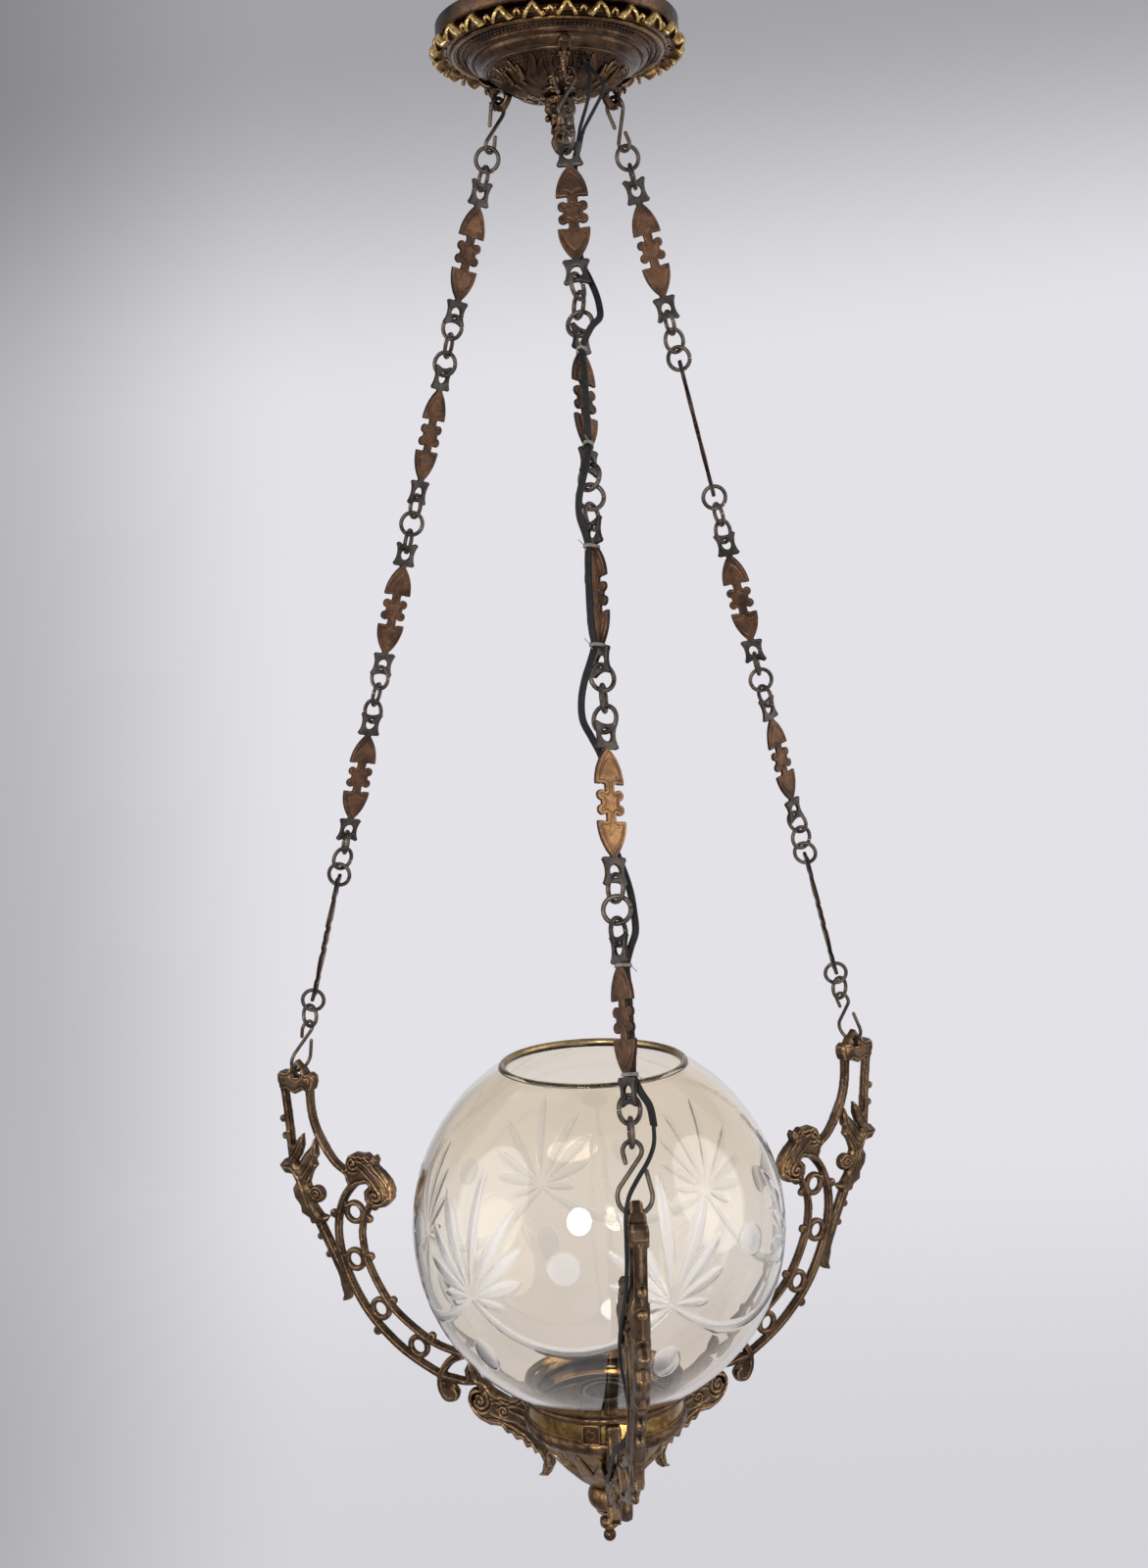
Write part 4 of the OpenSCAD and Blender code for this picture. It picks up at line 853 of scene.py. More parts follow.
def build_link(name, i):
    """A pierced link: copper faces, dark eye plates, and painted shade on its side walls and along its engraved line.
    """
    s = LINK_1_S + (i - 1) * LINK_PITCH + LINK_LEN / 2
    axes, centre = ring_matrix(name, s, LINK_TURNS[name][i - 1])
    axis, up = axes[:, 0], axes[:, 2]
    plate_from = LINK_LEN / 2 - 9.4
    bright = name == "front" and i == 4

    def shape(co, n, across, d):
        along = np.abs((co - centre) @ up)
        zone = smooth01((along - plate_from) / 1.2)
        face = smooth01((np.abs(n @ axis) - 0.55) / 0.3)
        line = bump01(d - 2.05, 0.42) * face * (1 - zone)
        # Painted shade: the side walls are darkened, and so is the engraved line, most on the bright link.
        shade = np.maximum((1 - face) * 0.85, line * (0.9 if bright else 0.3))
        rise = -0.25 * bump01(d, 0.45) - 0.1 * line + 0.15 * smooth01((d - 2.6) / 1.5) * (1 - zone)
        return rise, {"zone": zone, "shade": shade, "wear": 0.25 * smooth01((d - 2.6) / 1.4) * face}

    cast("%s_link_%d" % (name, i), 0.38 if FINE else 0.6, "pierced_%s_%d" % (name, i), BRIGHT if bright else COPPER,
         rounds=1, plate=(axis, centre, 0.6), shape=shape, grow=0.05, wear=(0.3, 3))


for chain in DIRS:
    build_rings(chain)
    for number in range(1, 6):
        build_link(chain, number)
    for end in ("top", "bottom"):
        cast("%s_%s_hook" % (chain, end), 0.36 if FINE else 0.5, "wire_%s_%s" % (chain, end), IRON, 2)


# Arms

# Carved lines on an arm, as (points, half width, depth). x runs inwards from the eye and y down from it.
CROWN_LINES = [
    (spiral((44.8, 65.4), 5.8, 1.0, 60, 1.6), 0.75, -1.3),
    (spiral((62.6, 87.6), 6.6, 1.2, -60, 1.5), 0.75, -1.3),
    ([(50.4, 61), (56, 64.6), (62.6, 70), (68, 76.4), (71, 84)], 0.7, -1.1),
    ([(57.6, 60.4), (62, 64.6), (69.4, 72), (74.4, 79.6), (74, 87)], 0.6, -0.8),
    ([(49, 66), (54, 69.6), (60, 75), (65, 81)], 0.6, -0.9),
    ([(53, 63), (59.4, 67.4), (66, 73.4), (71, 80), (72.6, 86)], 0.9, 0.7),
]
FOOT_LINES = [
    (spiral((141.8, 226.2), 8.2, 1.2, -30, 1.9), 0.9, -1.5),
    (spiral((160.4, 230.6), 4.6, 0.8, 200, 1.4), 0.7, -1.1),
    (spiral((180.6, 214), 4.8, 0.9, 100, 1.4), 0.7, -1.0),
    ([(147, 237.4), (156, 236.8), (166, 238.4), (176, 243), (184, 249.4), (189.6, 258)], 0.8, -1.3),
    ([(166, 228), (175, 230.4), (184, 236.6), (192, 245), (199, 253)], 0.8, -1.2),
    ([(151, 225), (158, 222.6), (166, 224), (174, 224.6), (183, 228)], 0.7, -1.0),
    ([(151, 233.4), (160, 236), (170, 236.4), (180, 241)], 0.9, 0.7),
]
SPRAY_LINES = [
    ([(-9, 67), (-4, 60), (1, 51)], 0.6, -0.9),
    ([(0, 79), (6, 71), (11, 62), (12, 53)], 0.6, -0.9),
    ([(4, 82), (8, 75), (12.6, 67)], 0.5, -0.7),
    ([(-15, 73), (-9, 73), (-2, 80), (2, 90), (5, 100)], 0.6, -0.9),
    (spiral((12, 92), 4.6, 0.8, 180, 1.4), 0.6, -1.0),
]
# Places on an arm that hands and cloths have rubbed bright, as (x, y, radius, strength).
RUBBED = [
    (73, 82, 9, 0.9), (11, 6, 4, 0.7), (-3, 76, 5, 0.6), (1, 88, 5, 0.5), (44, 62, 3, 0.4), (157, 238, 7, 0.45),
    (142, 232, 5, 0.35), (172, 247, 5, 0.4), (184, 255, 4, 0.5), (190, 266, 5, 0.4), (181, 212, 5, 0.4),
]


def build_arm(name):
    a = math.radians(DIRS[name])
    out = np.array([math.cos(a), math.sin(a), 0.0])
    axis = np.array([-math.sin(a), math.cos(a), 0.0])

    def shape(co, n, across, d):
        x = REACH - co @ out
        y = ARM_Z - co[:, 2] + 2
        face = smooth01((np.abs(n @ axis) - 0.3) / 0.4)
        crown = (x > 36) & (x < 79) & (y > 55) & (y < 98)
        foot = (x > 128) & (y > 198)
        cap = y < 19
        spray = (x < 22) & (y > 46) & (y < 114)
        broad = crown | foot
        rise = -0.8 * bump01(d, 0.8)
        rise += np.where(broad, 0.9 * smooth01((d - 0.6) / 2.2) - 0.9 * bump01(d - 3.6, 0.7), 0.0)
        rise += np.where(spray, np.clip(0.5 * d - 0.5, -0.5, 1.1), 0.0)
        rise += np.where(cap, 0.5 * smooth01(d / 3) - 0.7 * bump01(d - 2.4, 0.6), 0.0)
        for mask, lines in ((crown, CROWN_LINES), (foot, FOOT_LINES), (spray, SPRAY_LINES)):
            idx = np.nonzero(mask)[0]
            for points, width, depth in lines:
                rise[idx] += depth * bump01(line_distance(x[idx], y[idx], points), width) * face[idx]
        rub = np.zeros(len(x))
        for px, py, r, strength in RUBBED:
            rub = np.maximum(rub, strength * bump01(np.hypot(x - px, y - py), r))
        return rise, {"wear": rub}

    cast("arm_" + name, 0.55 if FINE else 0.8, "casting_" + name, ARM_BRONZE, rounds=3,
         plate=(axis, np.zeros(3), 1.5), shape=shape, grow=0.28, wear=(0.24 if FINE else 0.34, 4))


for chain in DIRS:
    build_arm(chain)


# Rose

def rose_point(az, s):
    """A point of the bowl of the rose at azimuth az, in degrees, and distance s from its axis."""
    a = math.radians(az)
    return np.array([s * math.cos(a), s * math.sin(a), BALL_Z - math.sqrt(BALL_R ** 2 - s * s)])


def bowl_point(az, s):
    """A point of the bowl under the gallery at azimuth az, where s goes from 0 at its rim to 1 at its neck."""
    a = math.radians(az)
    r = BOWL_NECK_R + (BOWL_R - BOWL_NECK_R) * (1 - s)
    z = RING_LOW_Z - BOWL_H * s - BOWL_BELLY * s * (1 - s)
    return np.array([r * math.cos(a), r * math.sin(a), z])


def surface_frame(place, az, s, step):
    """Point and outward normal of a surface of revolution."""
    p = place(az, s)
    u = place(az + 0.2, s) - place(az - 0.2, s)
    v = place(az, s + step) - place(az, s - step)
    n = np.cross(u, v)
    n /= np.linalg.norm(n)
    if n @ np.array([math.cos(math.radians(az)), math.sin(math.radians(az)), -0.6]) < 0:
        n = -n
    return p, n


LEAF_SECTION = [(-1, -0.35), (-0.78, 0.5), (-0.42, 1.0), (0, 0.55), (0.42, 1.0), (0.78, 0.5), (1, -0.35), (0, -0.7)]
LEAF_WEAR = [-0.5, 0.1, 0.42, 0.0, 0.42, 0.1, -0.5, -0.3]


def leaf(soup, place, route, half, height, bright=1.0, step=0.01, blunt=0.0):
    """A cast leaf with a grooved middle that lies on a surface of revolution along a route of (az, s)."""
    route = catmull(route, 4)
    m = len(route)
    frames = [surface_frame(place, a, s, step) for a, s in route]
    pts = np.array([f[0] for f in frames])
    tangents = np.gradient(pts, axis=0)
    verts, wear = [], []
    for i, (p, n) in enumerate(frames):
        t = tangents[i] / np.linalg.norm(tangents[i])
        side = np.cross(n, t)
        f = i / (m - 1)
        w = max(math.sin(math.pi * min(f * 0.93 + 0.07, 1.0) ** 0.85), blunt if f < 0.9 else 0.0) ** 0.75
        w = max(w, 0.08)
        for (u, h), k in zip(LEAF_SECTION, LEAF_WEAR):
            verts.append(p + side * (u * half * w) + n * (h * height * (0.35 + 0.65 * w)))
            wear.append(k * bright)
    k = len(LEAF_SECTION)
    faces = [(i * k + j, i * k + (j + 1) % k, (i + 1) * k + (j + 1) % k, (i + 1) * k + j)
             for i in range(m - 1) for j in range(k)]
    faces += [tuple(range(k)), tuple((m - 1) * k + j for j in range(k))]
    soup.add((verts, faces), wear)


def scroll(soup, place, az, s, r0, turns, start, wire, step=0.01, wear=0.5):
    """A raised scroll of tapering wire on a surface of revolution."""
    p, n = surface_frame(place, az, s, step)
    u = place(az + 0.2, s) - place(az - 0.2, s)
    u /= np.linalg.norm(u)
    v = np.cross(n, u)
    flat = spiral((0, 0), r0, r0 * 0.12, start, turns, 28)
    path = [p + n * (wire * 0.35) + u * x + v * y for x, y in flat]
    soup.add(sweep(path, round_section(wire, 7), scale=np.linspace(1.0, 0.6, len(path))), wear)
    soup.ball(path[-1], wire * 0.9, 5, 7, wear)


def build_rose():
    steps = 30
    ball = [45.3 - (45.3 - 4.2) * i / steps for i in range(steps + 1)]
    under = [(r, BALL_Z - math.sqrt(BALL_R ** 2 - r * r)) for r in ball]
    inner = [(r, z + ROSE_WALL) for r, z in reversed(under)]
    outer = rounded([
        (ROSE_R - ROSE_WALL, -0.2), (ROSE_R, -0.2), (ROSE_R, -9), (ROSE_R - 1.2, -10.6), (71.5, -12), (69.4, -16),
        (66, -18.4), (58, -20.4), (57.6, -22.2), (56, -23.6), (54.2, -23.2), (53.6, -22.2), (52.8, -25.2),
        (50.2, -27.8), (46.4, -28.8), (46.4, -26.6), (49, -25.6), (51, -23.4), (51.8, -20), (58, -18.8), (66, -16.8),
        (67.6, -15.2), (70, -10.6), (74, -9.4), (ROSE_R - ROSE_WALL, -8),
    ], 0.9)
    shell = Soup()
    shell.add(lathe(outer, 192), 0.0)
    shell.add(lathe(under + inner, 192), -0.22)
    shell.add(lathe(circle_points((45.6, -28.6), 1.1, 1.0), 192), 0.3)
    shell.done("rose_shell", ROSE_BRONZE, "rose", "rose_metal", "canopy")

    beads = Soup()
    for r, z, count in ((60.0, -20.0, 132), (63.2, -19.2, 140)):
        for i in range(count):
            a = 2 * math.pi * i / count
            beads.ball((r * math.cos(a), r * math.sin(a), z), 1.15, 4, 7, 0.2)
    rnd = random.Random(3)
    for r, count in ((43.2, 92), (41.0, 88), (38.8, 80)):
        for i in range(count):
            az = 360 * i / count + rnd.uniform(-0.5, 0.5)
            p, n = surface_frame(rose_point, az, r, 0.4)
            beads.ball(p, 0.85, 4, 6, 0.1, 0.8, n)
    beads.done("rose_beads", ROSE_BRONZE, "rose", "rose_metal")

    relief = Soup()
    for lug in DIRS.values():
        for m in (-1, 1):
            leaf(relief, rose_point, [(lug + m * 25, 20), (lug + m * 31, 26), (lug + m * 33, 32), (lug + m * 28, 39),
                                      (lug + m * 25.6, 43.6)], 5.0, 2.6, 0.7, 0.4)
            leaf(relief, rose_point, [(lug + m * 27, 24), (lug + m * 23, 30), (lug + m * 22, 36), (lug + m * 18, 41)],
                 3.4, 2.2, 0.5, 0.4)
            leaf(relief, rose_point, [(lug + m * 33, 19), (lug + m * 41, 23), (lug + m * 43, 29), (lug + m * 38, 34)],
                 3.6, 2.2, 0.8, 0.4)
            for spread, reach, half in ((44, 40, 2.8), (50, 43.6, 3.0), (57, 41, 2.8)):
                leaf(relief, rose_point, [(lug + m * 49, 30), (lug + m * (49 + (spread - 49) * 0.5), 35),
                                          (lug + m * spread, reach)], half, 2.8, 1.5, 0.4)
            scroll(relief, rose_point, lug + m * 13, 24, 4.6, m * 1.4, 90 - 90 * m, 1.0, 0.4, 0.7)
            scroll(relief, rose_point, lug + m * 20, 14.6, 3.6, m * 1.3, 90 - 90 * m, 0.9, 0.4, 0.8)
            leaf(relief, rose_point, [(lug + m * 9, 30), (lug + m * 12, 36), (lug + m * 9, 42)], 2.0, 1.4, 0.6, 0.4)
            leaf(relief, rose_point, [(lug + m * 47, 12), (lug + m * 55, 18), (lug + m * 57, 25)], 3.0, 1.5, 0.5, 0.4)
        leaf(relief, rose_point, [(lug + 60, 10), (lug + 60, 18), (lug + 60, 28), (lug + 60, 35)], 4.6, 2.4, 0.8, 0.4)
    relief.done("rose_leaves", ROSE_BRONZE, "rose", "rose_metal")


def build_leaf_ring():
    """The ring round the foot of the side wall: a rounded edge, a hollow flange and 24 folded leaves that
    droop outwards, with a small fold between each two."""
    count = 24
    ring = Soup()
    ring.add(lathe(circle_points((66.8, -18.2), 1.5, 1.3), 192), 0.1)
    flange = rounded([(66.6, -17.4), (69, -16.4), (72.6, -15.6), (72.8, -14.6), (69, -15.4), (66.6, -16.2)], 0.3)
    ring.add(lathe(flange, 192), -0.1)
    for i in range(2 * count):
        small = i % 2 == 1
        a = math.radians(90 + 180 * i / count)
        out = np.array([math.cos(a), math.sin(a), 0.0])
        side = np.array([-math.sin(a), math.cos(a), 0.0])
        up = np.array([0, 0, 1.0])
        length, half, fold, droop = (8.4, 3.2, 3.6, 22) if small else (12.4, 8.0, 8.4, 26)
        start = 70.4 if small else 70.0
        m, k = (8, 9) if small else (12, 17)
        grid, wear, under = [], [], []
        for p in range(m):
            t = p / (m - 1)
            row = []
            for q in range(k):
                u = 2 * q / (k - 1) - 1
                reach = 1 - 0.16 * bump01(u, 0.22) - 0.3 * abs(u) ** 3
                w = half * (0.86 + 0.14 * math.sin(math.pi * min(t * 1.2, 1)) - 0.18 * t ** 3)
                rise = fold * smooth01(t * 1.25) * (1 - abs(u) ** 1.15) - 0.35 * fold * smooth01(t)
                d = length * t * reach
                c = math.cos(math.radians(droop))
                row.append(out * (start + d * c) + side * (u * w)
                           + up * (-15.4 - d * math.sin(math.radians(droop)) * 0.75 + rise))
                rim = max(smooth01((t - 0.55) / 0.3), bump01(u, 0.2) * 0.8)
                wear.append(0.95 * rim - 0.1)
                under.append(0.8 if p == m - 1 else 0.2 * rim - 0.2)
            grid.append(row)
        ring.add(sheet(grid, 1.4 if small else 1.9), wear + under)
    ring.done("leaf_ring", LEAF_BRASS, "rose", "gilt_leaf", "leaf_rim")


def build_hanger(name):
    """A bracket of the rose, rounded to a rib, with a small leafy form where the hook goes through."""
    a = math.radians(DIRS[name])
    axis = np.array([-math.sin(a), math.cos(a), 0.0])
    out = np.array([math.cos(a), math.sin(a), 0.0])

    def shape(co, n, across, d):
        x = co @ out
        rise = -1.1 * bump01(d, 1.0) + 0.5 * smooth01((d - 1) / 2)
        rub = 0.3 * bump01(x - 50, 5.0) * (co[:, 2] > -34)
        return rise, {"wear": rub - 0.1}

    cast("bracket_" + name, 0.5, "hanger_" + name, ROSE_BRONZE, rounds=3,
         plate=(axis, np.zeros(3), 1.6), shape=shape, grow=0.15, wear=(0.3, 4))
    leaves = Soup()

    def on_plate(side):
        def place(u, v):
            return out * (LUG_R + u) + np.array([0, 0, LUG_Z + v]) + axis * (side * 2.7)
        return place

    for side in (-1, 1):
        place = on_plate(side)
        for u, v, r, turns, start in ((6.6, 4.6, 2.6, 1.3, -60), (-5.6, 3.6, 2.4, -1.3, 240),
                                      (5.4, -5.4, 2.0, 1.2, 60)):
            path = [place(u + x, v + y) for x, y in spiral((0, 0), r, r * 0.15, start, turns, 22)]
            leaves.add(sweep(path, round_section(0.85, 8), scale=np.linspace(1, 0.6, len(path))), 0.2)
    leaves.done("hanger_scrolls_" + name, ROSE_BRONZE, "rose", "patina_bronze")


def build_pendant():
    """The cast stem under the rose: a collar of small leaves, a knobbly body and a pointed end."""
    top = FLOOR_Z
    side = [(0.4, 0.6), (8.2, 0.6), (9, -2.4), (8.2, -4.6), (8.4, -7.6), (7, -10.4), (5.2, -13), (4.7, -16.6),
            (5.9, -19.4), (5.6, -21), (4.6, -23), (5.3, -27), (4.6, -30.6), (3.2, -33.6), (0.4, -35.8)]
    line = catmull(side, 5)

    def wave(az, r, z):
        z = z - top
        lobes = 1.1 * math.cos(math.radians(6 * az)) * bump01(z + 6.5, 3.4)
        knots = 1.15 * math.cos(math.radians(4 * az + 40)) * bump01(z + 14.6, 3.2)
        buds = 0.95 * math.cos(math.radians(5 * az + 15)) * bump01(z + 20.6, 2.2)
        tip = 0.7 * math.cos(math.radians(4 * az)) * bump01(z + 28, 3.6)
        grain = 0.16 * math.sin(az * 0.31 + z * 2.1) * math.sin(az * 0.17 - z * 1.3)
        keep = float(clamp01(r / 3))
        return (lobes + knots + buds + tip + grain) * keep, 0.0

    stem = Soup()
    stem.add(lathe([(r, z + top) for r, z in line], 96, wave))
    for k in range(6):
        az = math.radians(60 * k)
        p = np.array([7.6 * math.cos(az), 7.6 * math.sin(az), top - 12.6])
        stem.ball(p, 1.9, 6, 9, 0.5, 1.2)
    ob = stem.done("pendant_stem", ROSE_BRONZE, "rose", "gilt_leaf", "pendant_knob")
    set_attribute(ob.data, "wear", curvature(ob.data, 1.4, 4))


build_rose()
build_leaf_ring()
for chain in DIRS:
    build_hanger(chain)
build_pendant()


# Gallery, bowl and finial

def build_gallery():
    lip = LIP_Z
    band = rounded([
        (GALLERY_R - GALLERY_WALL, lip - 1.6), (GALLERY_R + 0.4, lip + 0.2), (SEAT_R, lip + 0.6), (SEAT_R + 0.4, lip - 0.8),
        (GALLERY_R, lip - 3.2), (GALLERY_R, RING_LOW_Z + 2), (BOWL_R + 2, RING_LOW_Z), (BOWL_R - 2, RING_LOW_Z),
        (BOWL_R - 2, RING_LOW_Z + 1.6), (GALLERY_R - GALLERY_WALL, RING_LOW_Z + 2.6),
    ], 0.5)
    ring = Soup()
    ring.add(lathe(band, 192), 0.0)
    ring.done("gallery_band", GALLERY, "cage", "gallery_brass", "gallery_ring")

    trim = Soup()
    lobes = 44

    def scallop(az, r, z):
        f = abs(math.sin(math.radians(az * lobes / 2)))
        return 0.35 * f * (r > SEAT_R), -0.9 * (1 - f) * (z < lip)

    trim.add(lathe(circle_points((SEAT_R + 0.2, lip - 0.9), LIP_WIRE / 2 + 0.2, LIP_WIRE / 2 + 0.9, 14), 352, scallop), 0.1)

    def rope(az, r, z):
        f = math.sin(math.radians(az * 36) + (z - RING_LOW_Z) * 0.8)
        return 0.22 * f * (r > GALLERY_R - 1), 0.0

    trim.add(lathe(circle_points((GALLERY_R - 1.4, RING_LOW_Z + 3.8), 3.2, 4.6, 18), 288, rope), 0.0)
    trim.add(lathe(circle_points((GALLERY_R - 0.2, RING_LOW_Z + 9.4), 0.9, 0.8, 10), 192), 0.35)
    trim.add(lathe(circle_points((BOWL_R + 0.4, RING_LOW_Z - 0.4), 1.4, 1.5, 12), 192), 0.2)
    trim.done("gallery_trim", BROWN_ROLL, "cage", "gallery_brass")

    plates = Soup()
    borders = Soup()
    for i in range(3):
        az = math.radians(i * 120 - 105)
        out = np.array([math.cos(az), math.sin(az), 0.0])
        side = np.array([-math.sin(az), math.cos(az), 0.0])
        up = np.array([0, 0, 1.0])

        def at(u, v, h=0.0):
            return out * (GALLERY_R + 1.2 + h) + side * u + up * (LIP_Z - 9.4 + v)

        grid = [[at(u, v) for u in np.linspace(-6, 6, 9)] for v in np.linspace(-6.6, 6.6, 9)]
        plates.add(sheet(grid, 2.4), -0.2)
        frame_path = [at(x, y, 1.5) for x, y in
                      rounded([(-5.6, -6.2), (5.6, -6.2), (5.6, 6.2), (-5.6, 6.2)], 1.6, 4)]
        frame_path = catmull(frame_path + frame_path[:1], 2)
        borders.add(sweep(frame_path, round_section(0.9, 8)), 0.45)
        path = [at(x, y, 1.4) for x, y in spiral((0, 0), 3.6, 1.9, 90, 1.2, 30)]
        borders.add(sweep(path, round_section(0.65, 7)), 0.35)
    plates.done("gallery_plates", BROWN_ROLL, "cage", "gallery_brass")
    borders.done("gallery_borders", BROWN_ROLL, "cage", "gallery_brass")


def build_bowl():
    n = 28
    outer = [(BOWL_NECK_R + (BOWL_R - BOWL_NECK_R) * (1 - i / n),
              RING_LOW_Z - BOWL_H * i / n - BOWL_BELLY * (i / n) * (1 - i / n)) for i in range(n + 1)]
    inner = [(max(r - BOWL_WALL, 5.3), z + BOWL_WALL * 0.6) for r, z in reversed(outer)]
    body = Soup()
    # The inner surface gets a wear value of -0.5: painted shade inside the bowl.
    body.add(lathe(outer + [(5.3, BOWL_LOW_Z)] + inner, 192), ([0.0] * len(outer) + [-0.5] * (len(inner) + 1)) * 192)
    body.done("bowl_shell", BOWL_BRASS, "cage", "gallery_brass", "bowl")
    relief = Soup()
    for k in range(6):
        az = -120 + 60 * k
        leaf(relief, bowl_point, [(az, 0.94), (az, 0.7), (az, 0.45), (az, 0.2), (az, 0.08)], 6.4, 2.0, 0.7, 0.01)
        for m in (-1, 1):
            leaf(relief, bowl_point, [(az + m * 3, 0.9), (az + m * 12, 0.66), (az + m * 17, 0.48), (az + m * 14, 0.34)],
                 4.6, 1.7, 0.6, 0.01)
            leaf(relief, bowl_point, [(az + m * 8, 0.56), (az + m * 17, 0.36), (az + m * 21, 0.2), (az + m * 17, 0.1)],
                 4.4, 1.6, 0.6, 0.01)
            scroll(relief, bowl_point, az + m * 25, 0.26, 4.4, m * 1.5, 90 + 90 * m, 1.2, 0.01, 0.7)
        leaf(relief, bowl_point, [(az + 30, 0.96), (az + 30, 0.76), (az + 30, 0.5)], 3.4, 1.9, 0.9, 0.01)
    relief.done("bowl_leaves", BOWL_BRASS, "cage", "gallery_brass")


def build_finial():
    swell = BOSS_H / 2
    side = [(5.1, 0.0)]
    for i in range(17):
        a = -math.pi / 2 + math.pi * i / 16
        side.append((BOSS_R - swell + swell * math.cos(a), swell + swell * math.sin(a)))
    side.append((5.1, BOSS_H))
    boss = Soup()

    def gadroon(az, r, z):
        f = abs(math.sin(math.radians(az * 8)))
        return 0.2 * (f - 0.5) * float(clamp01((r - 6) / 5)), 0.0

    boss.add(lathe([(r, z + BOSS_LOW_Z) for r, z in side], 192, gadroon), 0.1)
    ob = boss.done("boss_turned", BOWL_BRASS, "cage", "gallery_brass", "boss")
    set_attribute(ob.data, "wear", curvature(ob.data, 1.2, 3))
    tip = [(0.3, 0.0), (8.4, 0.0), (8.6, -0.9), (8.2, -1.8), (5.6, -3.2), (4.4, -4.6), (4.5, -6), (6.2, -7.4),
           (6.5, -9.6), (6.2, -12), (4.3, -13.8), (2.8, -15.2), (2.6, -15.8)]
    for i in range(13):
        a = math.radians(52 - 142 * i / 12)
        tip.append((4.3 * math.cos(a) + 0.01, -19.2 + 4.3 * math.sin(a)))
    turned = Soup()
    turned.add(lathe([(max(r, 0.3), z + BOSS_LOW_Z) for r, z in tip], 96), 0.15)
    ob = turned.done("finial_turned", BROWN_ROLL, "cage", "gallery_brass", "finial")
    set_attribute(ob.data, "wear", curvature(ob.data, 0.9, 3))


build_gallery()
build_bowl()
build_finial()


# Globe

FANS = [-45 + 60 * k for k in range(6)]
PETALS = [
    (0, 37, 3.6), (26, 31, 3.9), (-26, 31, 3.9), (46, 24.5, 3.9), (-46, 24.5, 3.9),
    (67, 19, 4.0), (-67, 19, 4.0), (97, 11.8, 2.8), (-97, 11.8, 2.8),
]


def cut_field(az, el):
    """Depth of the cutting in millimetres at an azimuth and an elevation on the globe, in degrees."""
    k = GLOBE_R * math.pi / 180
    depth = np.zeros_like(az)
    for c in FANS:
        da = (az - c + 180) % 360 - 180
        x = da * np.cos(np.radians(el)) * k
        y = (el + 6) * k
        near = (np.abs(da) < 62) & (el > -50) & (el < 40)
        for ang, length, half in PETALS:
            a = math.radians(ang)
            t = (x * math.sin(a) + y * math.cos(a)) / (length * k)
            s = x * math.cos(a) - y * math.sin(a)
            w = 1.15 * half * np.sin(np.pi * clamp01(t * 0.98 + 0.01) ** 1.45) ** 0.75
            d = 1.2 * clamp01(1 - np.abs(s) / np.maximum(w, 1e-3)) * clamp01(w / half * 1.2)
            depth = np.where(near & (t > 0) & (t < 1), np.maximum(depth, d), depth)
        dm = (az - (c + 30) + 180) % 360 - 180
        mid = -19.5 + 13.0 * (dm / 30) ** 2
        w = 3.9 * clamp01((30.5 - np.abs(dm)) / 9) ** 0.6
        d = 0.9 * clamp01(1 - np.abs(el - mid) * k * 0.93 / np.maximum(w, 1e-3))
        depth = np.where((np.abs(dm) < 30.5), np.maximum(depth, d), depth)
        px = dm * np.cos(np.radians(el)) * k
        py = (el - 5.8) * k
        r2 = (px ** 2 + py ** 2) / 11.2 ** 2
        depth = np.maximum(depth, 1.1 * clamp01(1 - r2) * (np.abs(dm) < 30))
        oy = (el + 25.5) * k
        r2 = (x / 8.6) ** 2 + (oy / 13.0) ** 2
        depth = np.maximum(depth, 1.7 * clamp01(1 - r2) ** 0.7 * (np.abs(da) < 30))
    return depth


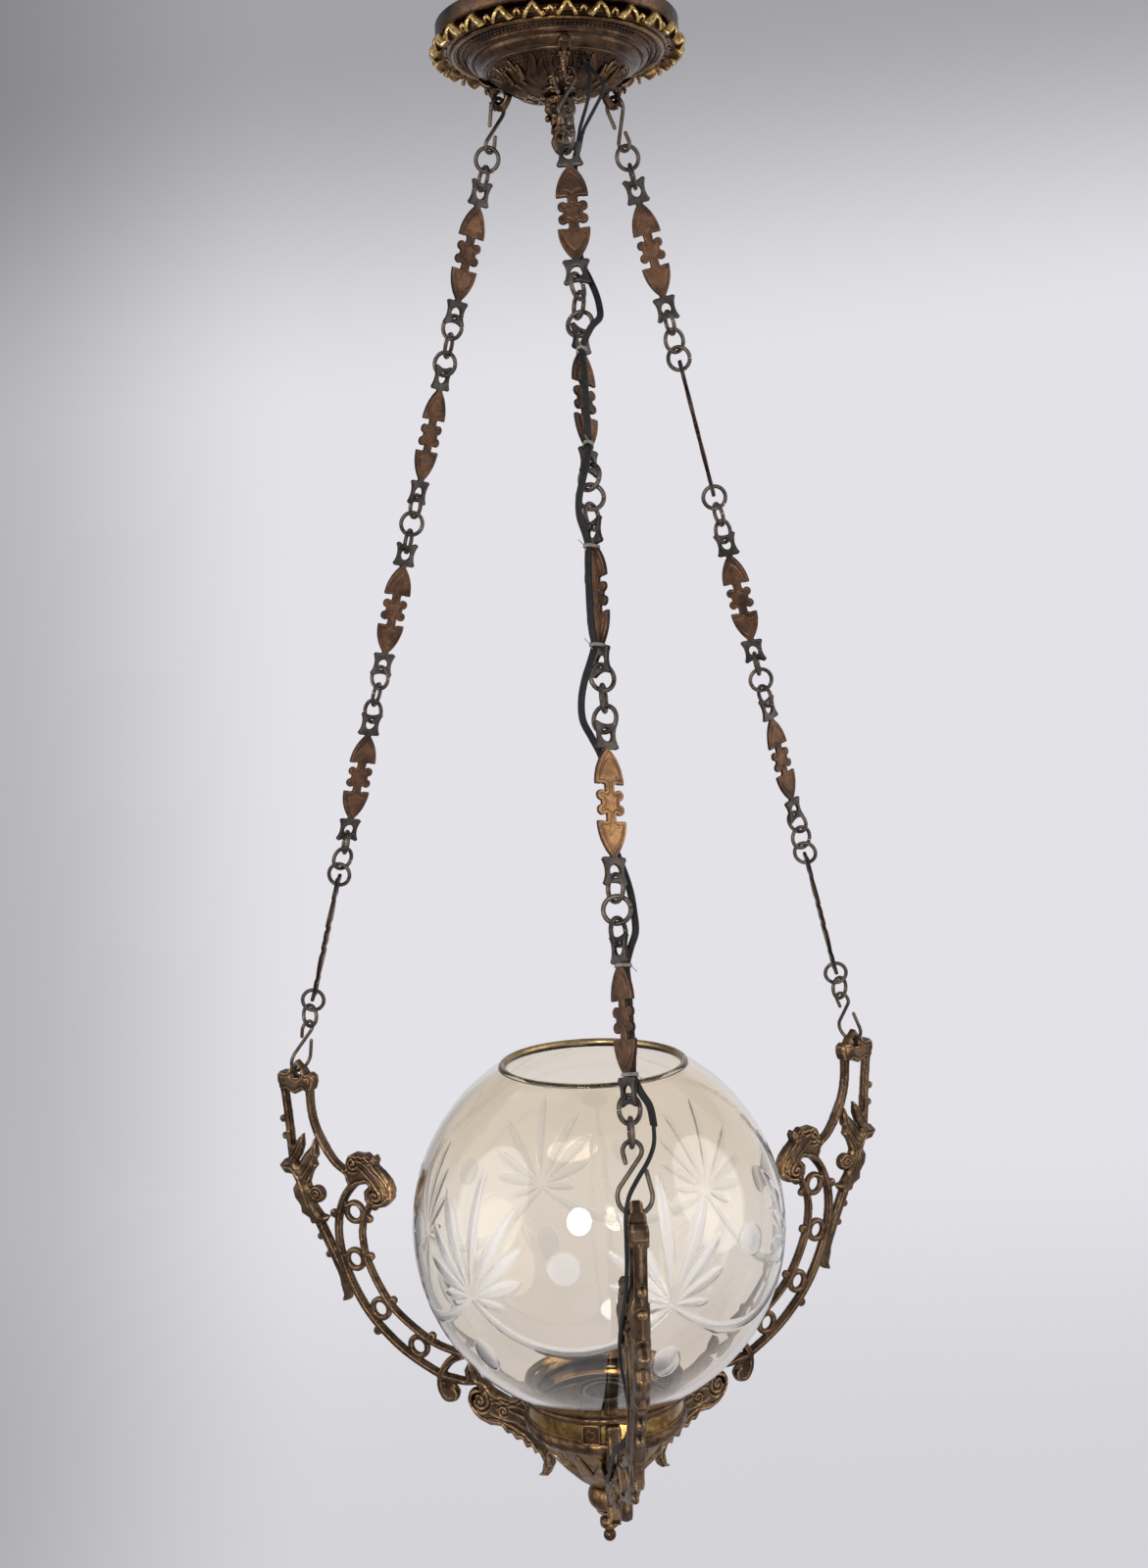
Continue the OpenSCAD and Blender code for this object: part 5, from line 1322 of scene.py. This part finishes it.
def build_globe():
    around = 640 if FINE else 320
    steps = 300 if FINE else 150
    low_el = math.degrees(math.asin((LIP_Z + 3 - GLOBE_Z) / GLOBE_R))
    top_el = math.degrees(math.acos((MOUTH_R - 0.3) / GLOBE_R))
    inner_r = GLOBE_R - 4.0
    neck_in = NECK_R - 3.0
    prof, is_cut, is_rim = [], [], []

    def put(r, z, cut=0, rim=0):
        prof.append((r, z))
        is_cut.append(cut)
        is_rim.append(rim)

    in_low = -math.acos(neck_in / inner_r)
    in_top = math.acos((MOUTH_R - 4.6) / inner_r)
    for i in range(8):
        put(neck_in + 0.2, LIP_Z - 15 + i * (GLOBE_Z + inner_r * math.sin(in_low) - LIP_Z + 15) / 8)
    for i in range(70):
        a = in_low + (in_top - in_low) * i / 69
        put(inner_r * math.cos(a), GLOBE_Z + inner_r * math.sin(a))
    centre = (MOUTH_R - 1.9, MOUTH_Z - 0.4)
    for i in range(15):
        a = math.radians(190 - 190 * i / 14)
        put(centre[0] + 2.4 * math.cos(a), centre[1] + 2.4 * math.sin(a), 0, 1)
    for i in range(steps):
        a = math.radians(top_el + (low_el - top_el) * i / (steps - 1))
        put(GLOBE_R * math.cos(a), GLOBE_Z + GLOBE_R * math.sin(a), 1)
    for r, z in ((1.6, 1.2), (1.6, -1.4), (0.2, -3.4), (0, -5), (0, -14.4), (-0.7, -15)):
        put(NECK_R + r, LIP_Z + z)
    prof = np.array(prof)
    m = len(prof)
    az = np.linspace(-180, 180, around, endpoint=False)
    r = np.repeat(prof[:, 0:1], around, 1)
    z = np.repeat(prof[:, 1:2], around, 1)
    a = np.repeat(az[None, :], m, 0)
    el = np.degrees(np.arctan2(z - GLOBE_Z, r))
    depth = np.where(np.array(is_cut)[:, None] > 0, cut_field(a, el), 0.0)
    er, ar = np.radians(el), np.radians(a)
    r2 = r - depth * np.cos(er)
    z2 = z - depth * np.sin(er)
    verts = np.stack([r2 * np.sin(ar), -r2 * np.cos(ar), z2], -1).reshape(-1, 3)
    rim = np.repeat(np.array(is_rim, float)[:, None], around, 1).reshape(-1)
    faces = []
    for i in range(m):
        n = (i + 1) % m
        for j in range(around):
            k = (j + 1) % around
            faces.append((i * around + j, n * around + j, n * around + k, i * around + k))
    ob = make_object("globe_cut", verts, faces, GLASS, "globe_glass",
                     attributes={"cut": smooth01(depth / 0.4).reshape(-1), "rim": rim * 0.2})
    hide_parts("globe")
    gilt = Soup()
    top_edge = [(centre[0] + 2.55 * math.cos(math.radians(b)), centre[1] + 2.55 * math.sin(math.radians(b)))
                for b in range(70, 201, 13)]
    low_edge = [(centre[0] + 2.3 * math.cos(math.radians(b)), centre[1] + 2.3 * math.sin(math.radians(b)))
                for b in range(200, 69, -13)]
    gilt.add(lathe(top_edge + low_edge, 192), 0.3)
    gilt.done("globe_rim", RIM_GOLD, "globe_glass", "cut_glass")


build_globe()


# CAD nodes that stay as they are

def paint(material, *nodes):
    for node in nodes:
        NODES[node].data.materials.clear()
        NODES[node].data.materials.append(material)


paint(BROWN_ROLL, "gallery_screws", "arm_screws")
paint(HOLDER, "lampholder_shell")
paint(INSERT, "lampholder_insert")
paint(STEEL, "rose_rod", "crossbar", "rose_nut", "cage_rod", "cage_nut")
paint(PORCELAIN, "lead_connector")
paint(FLEX, "flex_bush")
